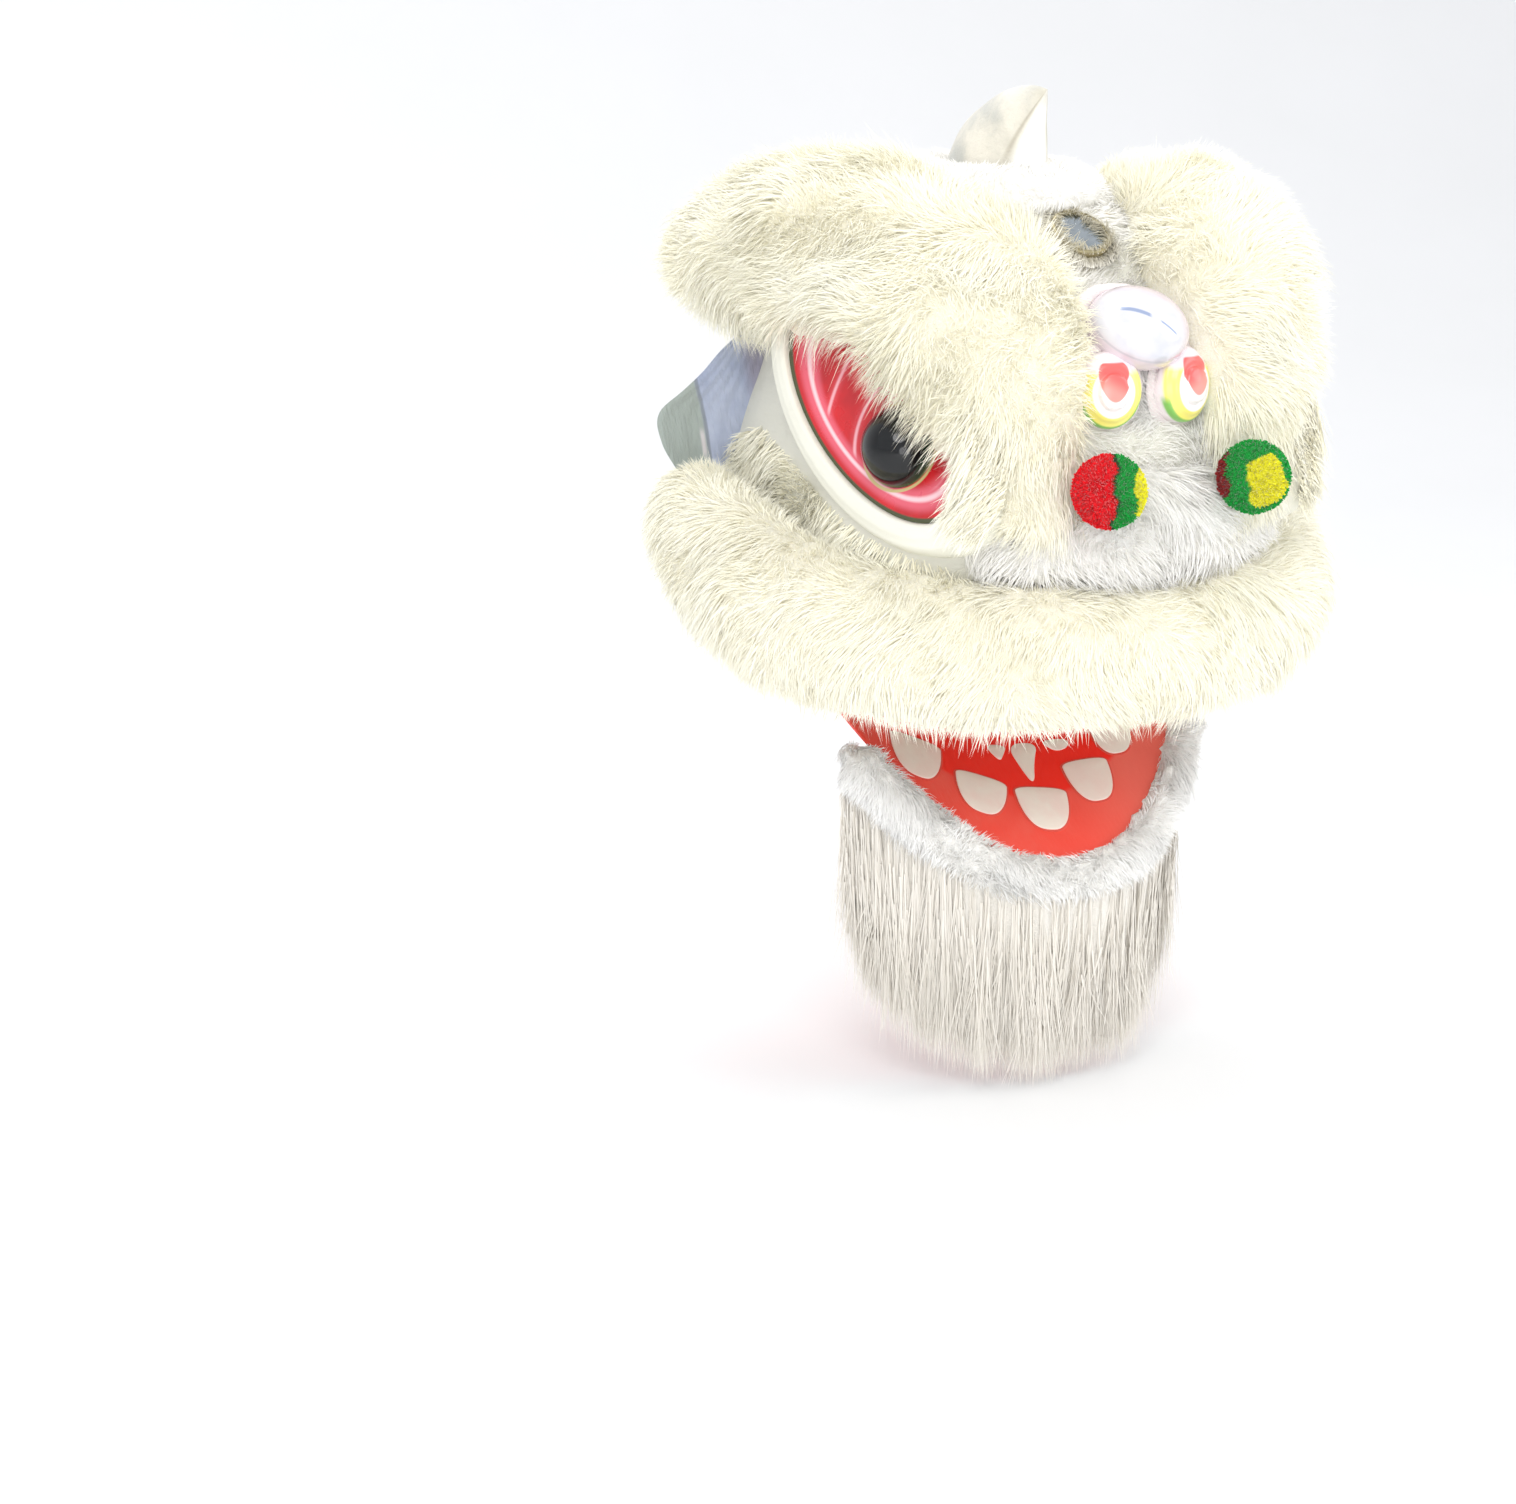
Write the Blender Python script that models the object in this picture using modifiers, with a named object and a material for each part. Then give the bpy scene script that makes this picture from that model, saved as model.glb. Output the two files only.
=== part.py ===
"""A southern lion dance head: a hollow papier-mache shell with thick fur brows, a fur upper lip and a hinged jaw.

Metres, +Z up, the lion looks along -Y. The origin is the middle of the carrying bar inside the head.
Places on the face are written from the middle of the nose, as (sideways, ahead, above).
"""

import math

import bmesh
import bpy
import numpy as np
from mathutils import Matrix, Vector

for left_over in list(bpy.data.objects):
    bpy.data.objects.remove(left_over, do_unlink=True)

# Driving dimensions
NOSE = Vector((0.0, -0.300, 0.220))
GAP = 0.0003
WALL = 0.004
SHELL_SIDES = 24
SHELL_SQUARENESS = 2.3
RIM_DROP = 0.100

# The shell from the crown down: level above the nose, half width, front, widest place and back, all ahead of the nose.
SHELL_COLUMNS = ("above", "half_width", "front", "widest", "back")
SHELL_ROWS = (
    (0.108, 0.085, -0.160, -0.250, -0.350),
    (0.090, 0.135, -0.128, -0.245, -0.410),
    (0.060, 0.180, -0.092, -0.235, -0.455),
    (0.020, 0.208, -0.055, -0.225, -0.495),
    (-0.040, 0.227, -0.013, -0.213, -0.535),
    (-0.110, 0.241, 0.018, -0.206, -0.600),
    (-0.185, 0.250, 0.026, -0.205, -0.660),
    (-0.240, 0.254, 0.012, -0.205, -0.700),
    (-0.300, 0.255, -0.008, -0.205, -0.700),
    (-0.380, 0.249, -0.022, -0.205, -0.700),
)
CROWN = (0.116, -0.250)

# The rear opening is one slanted plane, through the dome's rear edge and the foot of the cheeks.
REAR_TOP = (-0.462, -0.010)
REAR_FOOT = (-0.360, -0.380)

# Brow furs, as sections from the inner edge beside the nose to the outer edge over the eye: sideways, ahead, above.
BROW_COLUMNS = ("inner_side", "inner_ahead", "inner_above", "outer_side", "outer_ahead", "outer_above", "half_thick")
BROW_ROWS = (
    (0.084, 0.028, -0.208, 0.148, -0.012, -0.196, 0.018),
    (0.082, 0.034, -0.176, 0.188, -0.050, -0.166, 0.046),
    (0.082, 0.036, -0.118, 0.202, -0.066, -0.112, 0.062),
    (0.072, 0.036, -0.062, 0.236, -0.092, -0.054, 0.080),
    (0.054, 0.018, -0.008, 0.264, -0.140, -0.010, 0.096),
    (0.046, -0.040, 0.052, 0.286, -0.200, 0.000, 0.104),
    (0.068, -0.115, 0.102, 0.298, -0.258, 0.002, 0.102),
    (0.102, -0.195, 0.132, 0.306, -0.316, 0.000, 0.094),
    (0.140, -0.275, 0.140, 0.310, -0.366, 0.002, 0.080),
    (0.176, -0.348, 0.128, 0.308, -0.410, 0.012, 0.060),
    (0.210, -0.410, 0.100, 0.288, -0.446, 0.040, 0.034),
)

# The lip and muzzle furs follow a path: sideways, ahead, above, half width along the skin, half thickness off it.
LIP_COLUMNS = ("side", "ahead", "above", "half_width", "half_thick")
LIP_ROWS = (
    (0.280, -0.440, -0.214, 0.024, 0.022),
    (0.288, -0.405, -0.230, 0.064, 0.048),
    (0.298, -0.335, -0.256, 0.094, 0.064),
    (0.302, -0.252, -0.284, 0.104, 0.070),
    (0.288, -0.168, -0.306, 0.102, 0.070),
    (0.244, -0.090, -0.319, 0.095, 0.067),
    (0.174, -0.030, -0.324, 0.090, 0.064),
    (0.090, 0.004, -0.328, 0.088, 0.062),
    (0.000, 0.014, -0.330, 0.087, 0.062),
)
MUZZLE_ROWS = (
    (0.172, -0.062, -0.205, 0.020, 0.016),
    (0.150, -0.030, -0.200, 0.044, 0.032),
    (0.100, 0.002, -0.196, 0.056, 0.036),
    (0.045, 0.018, -0.192, 0.062, 0.036),
    (0.000, 0.022, -0.190, 0.064, 0.036),
)
BROW_SECTIONS = 21
LIP_SECTIONS = 37
MUZZLE_SECTIONS = 11
FUR_SIDES = 10
THIN_FUR_SIDES = 8
LOCK_DIP = 0.84
LOCK_COMB = 0.006
CORE = (0.0, -0.230, -0.120)

# The eye: an oval dish in a raised white socket, slanted up towards the ear, with a black dome near the nose.
EYE_PLACE = (0.232, -0.116, -0.074)
EYE_FACING = (0.91, 0.34, 0.22)
EYE_LONG = 0.148
EYE_SHORT = 0.078
EYE_SLANT = math.radians(38)
EYE_SIDES = 17
SOCKET_WIDTH = 0.032
SOCKET_PROFILE = ((0.20, 0.000), (0.62, -0.005), (0.92, -0.018), (1.00, -0.032), (0.90, -0.075))
DISH_DEPTH = 0.014
DISH_THICK = 0.003
PUPIL_SHIFT = (-0.028, -0.038)
PUPIL_RADIUS = 0.043
PUPIL_PROUD = 0.024

# Nose, mirror and horn
BULB_HALF = (0.054, 0.050, 0.036)
BULB_TILT = math.radians(32)
NOSTRIL_PLACE = (0.043, 0.012, -0.058)
NOSTRIL_HALF = (0.033, 0.027, 0.038)
NOSTRIL_TURN = math.radians(14)
MIRROR_PLACE = (0.0, -0.103, 0.084)
MIRROR_TILT = math.radians(38)
MIRROR_RADIUS = 0.026
FRAME_WIDTH = 0.006
HORN_COLUMNS = ("ahead", "above", "half_width", "half_depth")
HORN_ROWS = (
    (-0.266, 0.085, 0.052, 0.078),
    (-0.262, 0.112, 0.051, 0.076),
    (-0.251, 0.142, 0.046, 0.068),
    (-0.233, 0.170, 0.037, 0.053),
    (-0.209, 0.195, 0.024, 0.034),
    (-0.183, 0.214, 0.010, 0.014),
)
HORN_TIP = (-0.169, 0.222)
HORN_SIDES = 14
COLLAR_REACH = (0.078, 0.104)
COLLAR_HALF = (0.036, 0.026)

# Pompoms on springs
POMPOM_PLACE = (0.086, 0.084, -0.143)
POMPOM_RADIUS = 0.037
SPRING_FOOT = (0.086, 0.014, -0.192)
SPRING_RADIUS = 0.0055
WIRE_RADIUS = 0.0010
SPRING_TURNS = 5
WIRE_STEPS_A_TURN = 7
SPRING_LEAD = 0.012

# Ears: cupped leaves, set across the head behind the eyes.
EAR_FOOT = (0.217, -0.381, -0.186)
EAR_HEIGHT = 0.150
EAR_LEAN = (0.10, -0.12, 0.96)
EAR_ACROSS = (0.78, -0.62, 0.0)
EAR_COLUMNS = ("share_of_height", "half_width", "set_out")
EAR_ROWS = (
    (0.00, 0.046, 0.040),
    (0.20, 0.059, 0.040),
    (0.45, 0.059, 0.035),
    (0.58, 0.047, 0.022),
    (0.72, 0.036, 0.008),
    (0.88, 0.025, -0.005),
    (1.00, 0.006, -0.007),
)
EAR_CUP = 0.018
EAR_THICK = 0.003

# The jaw: a red board that slopes down to the front, on two arms that turn on pins in the cheeks.
JAW_TIP = (-0.095, -0.568)
JAW_SLOPE = math.radians(40)
JAW_COLUMNS = ("along", "half_width")
JAW_ROWS = (
    (0.000, 0.036),
    (0.014, 0.068),
    (0.034, 0.098),
    (0.062, 0.128),
    (0.096, 0.156),
    (0.136, 0.181),
    (0.176, 0.201),
    (0.216, 0.216),
    (0.262, 0.2235),
)
JAW_CURL = 0.95
JAW_THICK = 0.005
HINGE = (-0.350, -0.300)
ARM_MIDDLE = 0.222
ARM_THICK = 0.006
ARM_FOOT_BACK = 0.014
ARM_HALF = 0.015
PIN_RADIUS = 0.005
PIN_PLAY = 0.0006
PIN_INNER_END = 0.206
TRIM_ROWS = (0.160, 0.150, 0.128, 0.100, 0.070, 0.042, 0.018, 0.000)
TRIM_HALF = 0.030
TRIM_OUT = 0.016
TRIM_DOWN = 0.014
BEARD_COLUMNS = ("side", "ahead", "top", "bottom", "half_thick")
BEARD_ROWS = (
    (0.205, -0.212, -0.482, -0.700, 0.012),
    (0.175, -0.178, -0.512, -0.750, 0.018),
    (0.130, -0.140, -0.550, -0.780, 0.021),
    (0.070, -0.104, -0.585, -0.792, 0.023),
    (0.000, -0.096, -0.596, -0.796, 0.023),
)
BEARD_STRIPS = 21
BEARD_LEVELS = (0.0, 0.3, 0.6, 0.85)

# The carrying bar crosses the head level with the jaw's hinge, and its middle is the origin.
BAR_DEEP = 0.034
BAR_HIGH = 0.016


def from_nose(side, ahead, above):
    """A place on the face, in the part's own frame."""
    return Vector((side, NOSE.y - ahead, NOSE.z + above))


def facing(side, ahead, above):
    """A direction written as the places on the face are."""
    return Vector((side, -ahead, above)).normalized()


def material(name, colour, roughness, metallic=0.0):
    made = bpy.data.materials.new(name)
    made.use_nodes = True
    shader = made.node_tree.nodes["Principled BSDF"]
    shader.inputs["Base Color"].default_value = (*colour, 1.0)
    shader.inputs["Roughness"].default_value = roughness
    shader.inputs["Metallic"].default_value = metallic
    return made


SHELL_WHITE = material("shell_white", (0.90, 0.89, 0.85), 0.55)
FUR_CREAM = material("fur_cream", (0.92, 0.88, 0.72), 0.95)
FUR_WHITE = material("fur_white", (0.90, 0.88, 0.84), 0.95)
EYE_RED = material("eye_red", (0.62, 0.01, 0.02), 0.30)
PUPIL_BLACK = material("pupil_black", (0.01, 0.01, 0.01), 0.10)
NOSE_WHITE = material("nose_white", (0.93, 0.91, 0.93), 0.20)
NOSTRIL_PINK = material("nostril_pink", (0.90, 0.55, 0.50), 0.35)
MIRROR_GLASS = material("mirror_glass", (0.70, 0.74, 0.76), 0.05, 1.0)
FRAME_GOLD = material("frame_gold", (0.70, 0.60, 0.30), 0.35, 1.0)
HORN_CREAM = material("horn_cream", (0.90, 0.87, 0.78), 0.50)
POMPOM_WOOL = material("pompom_wool", (0.05, 0.42, 0.10), 0.95)
WIRE_BRASS = material("wire_brass", (0.55, 0.45, 0.22), 0.35, 1.0)
EAR_SATIN = material("ear_satin", (0.66, 0.72, 0.84), 0.35)
JAW_RED = material("jaw_red", (0.86, 0.10, 0.06), 0.35)
BAR_WOOD = material("bar_wood", (0.62, 0.46, 0.28), 0.60)
PIN_STEEL = material("pin_steel", (0.60, 0.60, 0.62), 0.35, 1.0)

PARTS = bpy.data.collections.new("lion_dance_head")
CUTTERS = bpy.data.collections.new("cutters")
for made_collection in (PARTS, CUTTERS):
    bpy.context.scene.collection.children.link(made_collection)
CUTTERS.hide_render = True


def split(faces):
    """Four-sided faces as two triangles each, always along the same diagonal, so that a cutter fits its piece."""
    made = []
    for face in faces:
        made += [[face[0], face[1], face[2]], [face[0], face[2], face[3]]] if len(face) == 4 else [face]
    return made


def object_from(name, vertices, faces, look=None):
    """A mesh object with its faces pointing out: a part if it has a look, and otherwise a cutter."""
    mesh = bpy.data.meshes.new(name)
    mesh.from_pydata([tuple(v) for v in vertices], [], split(faces))
    body = bmesh.new()
    body.from_mesh(mesh)
    bmesh.ops.remove_doubles(body, verts=body.verts, dist=1e-6)
    bmesh.ops.recalc_face_normals(body, faces=body.faces)
    body.to_mesh(mesh)
    body.free()
    made = bpy.data.objects.new(name, mesh)
    if look:
        mesh.materials.append(look)
        PARTS.objects.link(made)
    else:
        made.hide_render = True
        made.display_type = "WIRE"
        CUTTERS.objects.link(made)
    return made


def primitive(name, maker, look=None, turn=None, **sizes):
    """An object from one of bmesh's own shapes, placed by the matrix turn."""
    body = bmesh.new()
    maker(body, **sizes)
    body.transform(turn or Matrix.Identity(4))
    vertices = [v.co.copy() for v in body.verts]
    faces = [[v.index for v in f.verts] for f in body.faces]
    body.free()
    return object_from(name, vertices, faces, look)


def combine(target, *others, operation="DIFFERENCE"):
    """Boolean modifiers on target, one for each other object."""
    for other in others:
        modifier = target.modifiers.new(other.name, "BOOLEAN")
        modifier.operation = operation
        modifier.object = other
    return target


def cylinder(name, start, end, radius, sides=12, look=None, end_radius=None):
    """A straight round bar, or a cone with an end radius."""
    start, end = Vector(start), Vector(end)
    turn = Matrix.Translation((start + end) / 2) @ (end - start).to_track_quat("Z", "Y").to_matrix().to_4x4()
    return primitive(
        name, bmesh.ops.create_cone, look, turn, cap_ends=True, segments=sides,
        radius1=radius, radius2=radius if end_radius is None else end_radius, depth=(end - start).length,
    )


def through(rows, count):
    """count rows read evenly from a smooth curve through the given rows."""
    rows = np.array(rows, float)
    reach = np.concatenate([[0], np.cumsum(np.linalg.norm(np.diff(rows[:, :3], axis=0), axis=1))])
    slopes = np.gradient(rows, reach, axis=0)
    made = []
    for place in np.linspace(0, reach[-1], count):
        i = min(np.searchsorted(reach, place, side="right") - 1, len(reach) - 2)
        span = reach[i + 1] - reach[i]
        t = (place - reach[i]) / span
        made.append(
            (2 * t**3 - 3 * t**2 + 1) * rows[i]
            + (t**3 - 2 * t**2 + t) * span * slopes[i]
            + (3 * t**2 - 2 * t**3) * rows[i + 1]
            + (t**3 - t**2) * span * slopes[i + 1]
        )
    return [[float(value) for value in row] for row in made]


# The head shell


def shell_ring(row, grow):
    """One level of the shell: a rounded outline with its own depth in front of and behind the widest place."""
    above, half_width, front, widest, back = row
    ring = []
    for i in range(SHELL_SIDES):
        angle = 2 * math.pi * i / SHELL_SIDES
        across = math.copysign(abs(math.cos(angle)) ** (2 / SHELL_SQUARENESS), math.cos(angle))
        along = math.copysign(abs(math.sin(angle)) ** (2 / SHELL_SQUARENESS), math.sin(angle))
        depth = front - widest if along > 0 else widest - back
        ring.append(from_nose((half_width + grow) * across, widest + (depth + grow) * along, above))
    return ring


def shell_surface(grow, drop=0.0):
    """Crown and rings of the shell's surface, moved out by grow, with the lowest ring repeated drop lower."""
    rings = []
    for row in SHELL_ROWS:
        lift = grow * max(0.0, row[0]) / CROWN[0]
        rings.append([p + Vector((0, 0, lift)) for p in shell_ring(row, grow)])
    if drop:
        rings.append([p - Vector((0, 0, drop)) for p in rings[-1]])
    return from_nose(0, CROWN[1], CROWN[0] + grow), rings


def ring_faces(first, second, count):
    return [[first + i, first + (i + 1) % count, second + (i + 1) % count, second + i] for i in range(count)]


def cap_faces(tip, ring, count):
    return [[tip, ring + i, ring + (i + 1) % count] for i in range(count)]


def shell_volume(name, grow):
    """The whole space inside the shell's surface as a cutter, running on below the rim."""
    crown, rings = shell_surface(grow, RIM_DROP)
    vertices = [crown] + [p for ring in rings for p in ring]
    faces = cap_faces(0, 1, SHELL_SIDES)
    for i in range(len(rings) - 1):
        faces += ring_faces(1 + i * SHELL_SIDES, 1 + (i + 1) * SHELL_SIDES, SHELL_SIDES)
    last = 1 + (len(rings) - 1) * SHELL_SIDES
    faces.append(list(range(last, last + SHELL_SIDES)))
    return object_from(name, vertices, faces)


def make_head_shell():
    """Outer and inner skins joined at the lower rim, then cut open at the back."""
    vertices, faces, starts = [], [], []
    for grow in (0.0, -WALL):
        crown, rings = shell_surface(grow)
        start = len(vertices)
        starts.append(start)
        vertices += [crown] + [p for ring in rings for p in ring]
        faces += cap_faces(start, start + 1, SHELL_SIDES)
        for i in range(len(rings) - 1):
            faces += ring_faces(start + 1 + i * SHELL_SIDES, start + 1 + (i + 1) * SHELL_SIDES, SHELL_SIDES)
    low = 1 + (len(SHELL_ROWS) - 1) * SHELL_SIDES
    faces += ring_faces(starts[0] + low, starts[1] + low, SHELL_SIDES)
    shell = object_from("head_shell", vertices, faces, SHELL_WHITE)
    top, foot = from_nose(0, *REAR_TOP), from_nose(0, *REAR_FOOT)
    up = (top - foot).normalized()
    size = 1.0
    middle = (top + foot) / 2 + Vector((0, up.z, -up.y)) * size / 2
    slope = math.atan2(up.y, up.z)
    turn = Matrix.Translation(middle) @ Matrix.Rotation(-slope, 4, "X") @ Matrix.Scale(size, 4)
    return combine(shell, primitive("rear_cutter", bmesh.ops.create_cube, None, turn, size=1.0))


SKIN = shell_volume("skin_cutter", GAP)
CAVITY = shell_volume("cavity_volume", -WALL - GAP)


# Fur


def locks(name, frames, sides, look, grow):
    """A closed roll of fur locks. Each frame is a middle, the half width and half thickness as vectors, and a size."""
    last = len(frames) - 1
    vertices = []
    for i, (middle, across, out, _) in enumerate(frames):
        comb = (frames[min(i + 1, last)][0] - frames[max(i - 1, 0)][0]).normalized() * LOCK_COMB
        for j in range(sides):
            angle = 2 * math.pi * j / sides
            tip = (i + j) % 2 == 0
            share = 1.0 if tip else LOCK_DIP
            place = share * (out * math.cos(angle) + across * math.sin(angle))
            vertices.append(middle + place + (comb if tip else Vector()))
    faces = []
    for i in range(last):
        faces += ring_faces(i * sides, (i + 1) * sides, sides)
    for ring, inner in ((0, 1), (last, last - 1)):
        beyond = (frames[ring][0] - frames[inner][0]).normalized() * (frames[ring][3] * 0.5 + grow)
        vertices.append(frames[ring][0] + beyond)
        faces += cap_faces(len(vertices) - 1, ring * sides, sides)
    return object_from(name, vertices, triangulated(faces), look)


def fur_roll(name, rows, sections, out_of, look=None, grow=0.0, sides=FUR_SIDES):
    """A roll square to its own path. The rows hold places and half sizes, and out_of gives the way off the skin."""
    stations = through(rows, sections)
    places = [Vector(s[:3]) for s in stations]
    frames = []
    for i, station in enumerate(stations):
        tangent = (places[min(i + 1, sections - 1)] - places[max(i - 1, 0)]).normalized()
        out = out_of(places[i])
        out = (out - out.dot(tangent) * tangent).normalized()
        across = tangent.cross(out) * (station[3] + grow)
        frames.append((places[i], across, out * (station[4] + grow), station[4]))
    return locks(name, frames, sides, look, grow)


def triangulated(faces):
    """Each four-sided face split along alternate diagonals, so that the locks stand up the same way on every copy."""
    made = []
    for face in faces:
        if len(face) == 4:
            a, b, c, d = face
            made += [[a, b, c], [a, c, d]] if (a + b) % 2 else [[a, b, d], [b, c, d]]
        else:
            made.append(face)
    return made


def placed_rows(rows, side=1):
    return [(*from_nose(side * row[0], row[1], row[2]), row[3], row[4]) for row in rows]


def brow_fur(name, side, look=None, grow=0.0):
    """A roll whose sections span from the inner edge to the outer edge, bulging away from the head's core."""
    core = from_nose(*CORE)
    rows = []
    for row in BROW_ROWS:
        inner = from_nose(side * row[0], row[1], row[2])
        outer = from_nose(side * row[3], row[4], row[5])
        rows.append((*((inner + outer) / 2), *((inner - outer) / 2), row[6]))
    stations = through(rows, BROW_SECTIONS)
    frames = []
    for station in stations:
        middle, reach = Vector(station[:3]), Vector(station[3:6])
        away = middle - core
        away = (away - away.dot(reach) / reach.length_squared * reach).normalized()
        frames.append((middle, reach * (1 + grow / reach.length), away * (station[6] + grow), station[6]))
    return locks(name, frames, FUR_SIDES, look, grow)


def front_fur(name, rows, sections, look=None, grow=0.0, sides=FUR_SIDES):
    """A roll of fur that runs round the front of the head from one side to the other."""
    axis = from_nose(0, -0.205, 0)
    half = placed_rows(rows)
    other = [(-row[0], *row[1:]) for row in reversed(half[:-1])]
    return fur_roll(name, half + other, sections, lambda p: Vector((p.x, p.y - axis.y, 0)), look, grow, sides)


# Eyes


def eye_frame(side):
    """The eye's own axes: X back and out along the face, Y up, Z out of the face."""
    out = facing(side * EYE_FACING[0], EYE_FACING[1], EYE_FACING[2])
    up = (Vector((0, 0, 1)) - out.z * out).normalized()
    back = up.cross(out) if side > 0 else out.cross(up)
    turn = Matrix((back, up, out)).transposed().to_4x4()
    return Matrix.Translation(from_nose(side * EYE_PLACE[0], EYE_PLACE[1], EYE_PLACE[2])) @ turn


def oval(grow, height):
    """The eye's slanted outline, moved out by grow, at a height off the eye's plane."""
    ring = []
    for i in range(EYE_SIDES):
        angle = 2 * math.pi * i / EYE_SIDES
        along = (EYE_LONG + grow) * math.cos(angle)
        across = (EYE_SHORT + grow) * math.sin(angle)
        ring.append(
            Vector((
                along * math.cos(EYE_SLANT) - across * math.sin(EYE_SLANT),
                along * math.sin(EYE_SLANT) + across * math.cos(EYE_SLANT),
                height,
            ))
        )
    return ring


def lofted(name, frame, rings, look=None, closed_ends=True):
    """A solid through rings of equal count, capped at both ends, or joined last to first as a hoop."""
    count = len(rings[0])
    vertices = [frame @ p for ring in rings for p in ring]
    faces = []
    for i in range(len(rings) - 1):
        faces += ring_faces(i * count, (i + 1) * count, count)
    last = (len(rings) - 1) * count
    if closed_ends:
        faces += [list(range(count)), list(range(last, last + count))]
    else:
        faces += ring_faces(last, 0, count)
    return object_from(name, vertices, faces, look)


def eye_block(name, side, grow):
    """The socket filled in as one plain block, which other pieces are cut with."""
    rings = [oval(SOCKET_WIDTH * share + grow, level + grow) for share, level in SOCKET_PROFILE]
    rings.append(oval(SOCKET_WIDTH * SOCKET_PROFILE[-1][0] + grow, SOCKET_PROFILE[-1][1] - 0.010))
    return lofted(name, eye_frame(side), rings)


def make_eye_socket(name, side):
    """A rounded white hoop round the dish, standing off the cheek."""
    rings = [oval(0.0, -0.040), oval(0.0, -0.003)]
    rings += [oval(SOCKET_WIDTH * share, level) for share, level in SOCKET_PROFILE]
    rings.append(oval(0.0, SOCKET_PROFILE[-1][1]))
    return combine(lofted(name, eye_frame(side), rings, SHELL_WHITE, closed_ends=False), SKIN)


def make_eye_panel(name, side):
    """A shallow dish inside the socket, with a round seat for the pupil."""
    levels = (1.0, 0.75, 0.45)
    rings = []
    for under in (0.0, DISH_THICK):
        for share in reversed(levels) if under == 0 else levels:
            deep = DISH_DEPTH * (1 - share**2) + 0.006 + under
            flat = [Vector((p.x * share, p.y * share, -deep)) for p in oval(-GAP, 0)]
            rings.append(flat)
    panel = lofted(name, eye_frame(side), rings, EYE_RED)
    return combine(panel, pupil_body(f"{name}_seat", side, GAP))


def pupil_body(name, side, grow, look=None):
    """A dome that stands out of the dish, flat at the back."""
    frame = eye_frame(side) @ Matrix.Translation((*PUPIL_SHIFT, 0))
    back = -DISH_DEPTH - 0.012 - grow
    rise = PUPIL_PROUD - back + grow
    rings = []
    for share in (0.0, 0.35, 0.62, 0.83, 0.96):
        radius = (PUPIL_RADIUS + grow) * math.sqrt(1 - share**2)
        rings.append([
            Vector((radius * math.cos(2 * math.pi * i / 20), radius * math.sin(2 * math.pi * i / 20), back + rise * share))
            for i in range(20)
        ])
    return lofted(name, frame, rings, look)


# Nose, mirror and horn


def nose_bulb(name, look=None, grow=0.0):
    turn = Matrix.Translation(NOSE) @ Matrix.Rotation(BULB_TILT, 4, "X")
    turn = turn @ Matrix.Diagonal((*(half + grow for half in BULB_HALF), 1.0))
    return primitive(name, bmesh.ops.create_uvsphere, look, turn, u_segments=16, v_segments=10, radius=1.0)


def nostril(name, side, look=None, grow=0.0):
    place = from_nose(side * NOSTRIL_PLACE[0], NOSTRIL_PLACE[1], NOSTRIL_PLACE[2])
    turn = Matrix.Translation(place) @ Matrix.Rotation(side * NOSTRIL_TURN, 4, "Z")
    turn = turn @ Matrix.Diagonal((*(half + grow for half in NOSTRIL_HALF), 1.0))
    return primitive(name, bmesh.ops.create_uvsphere, look, turn, u_segments=14, v_segments=8, radius=1.0)


def make_mirror():
    """A round glass let into a boss on the forehead."""
    middle = from_nose(*MIRROR_PLACE)
    out = Vector((0, -math.sin(MIRROR_TILT), math.cos(MIRROR_TILT)))
    sunk = 0.0022
    boss = cylinder("mirror_frame", middle - out * 0.030, middle + out * 0.002, MIRROR_RADIUS + FRAME_WIDTH, 20, FRAME_GOLD)
    combine(boss, cylinder("mirror_seat", middle - out * sunk, middle + out * 0.010, MIRROR_RADIUS + GAP, 20), SKIN)
    cylinder("mirror", middle - out * (sunk - GAP), middle + out * 0.0012, MIRROR_RADIUS, 20, MIRROR_GLASS)


def horn(name, look=None, grow=0.0):
    """A tapering horn, deeper than it is wide, that curls forward to its tip."""
    rows = [(0.0, *row) for row in HORN_ROWS]
    stations = through(rows, 9)
    rings = []
    for i, (_, ahead, above, half_width, half_depth) in enumerate(stations):
        before, after = stations[max(i - 1, 0)], stations[min(i + 1, len(stations) - 1)]
        rise = Vector((0, -(after[1] - before[1]), after[2] - before[2])).normalized()
        fore = Vector((0, -rise.z, rise.y))
        middle = from_nose(0, ahead, above)
        rings.append([
            middle + Vector((half_width + grow, 0, 0)) * math.cos(a) + fore * (half_depth + grow) * math.sin(a)
            for a in (2 * math.pi * k / HORN_SIDES for k in range(HORN_SIDES))
        ])
    count = HORN_SIDES
    vertices = [p for ring in rings for p in ring] + [from_nose(0, HORN_TIP[0], HORN_TIP[1] + grow)]
    faces = [list(range(count))]
    for i in range(len(rings) - 1):
        faces += ring_faces(i * count, (i + 1) * count, count)
    faces += cap_faces(len(vertices) - 1, (len(rings) - 1) * count, count)
    return object_from(name, vertices, faces, look)


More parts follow.
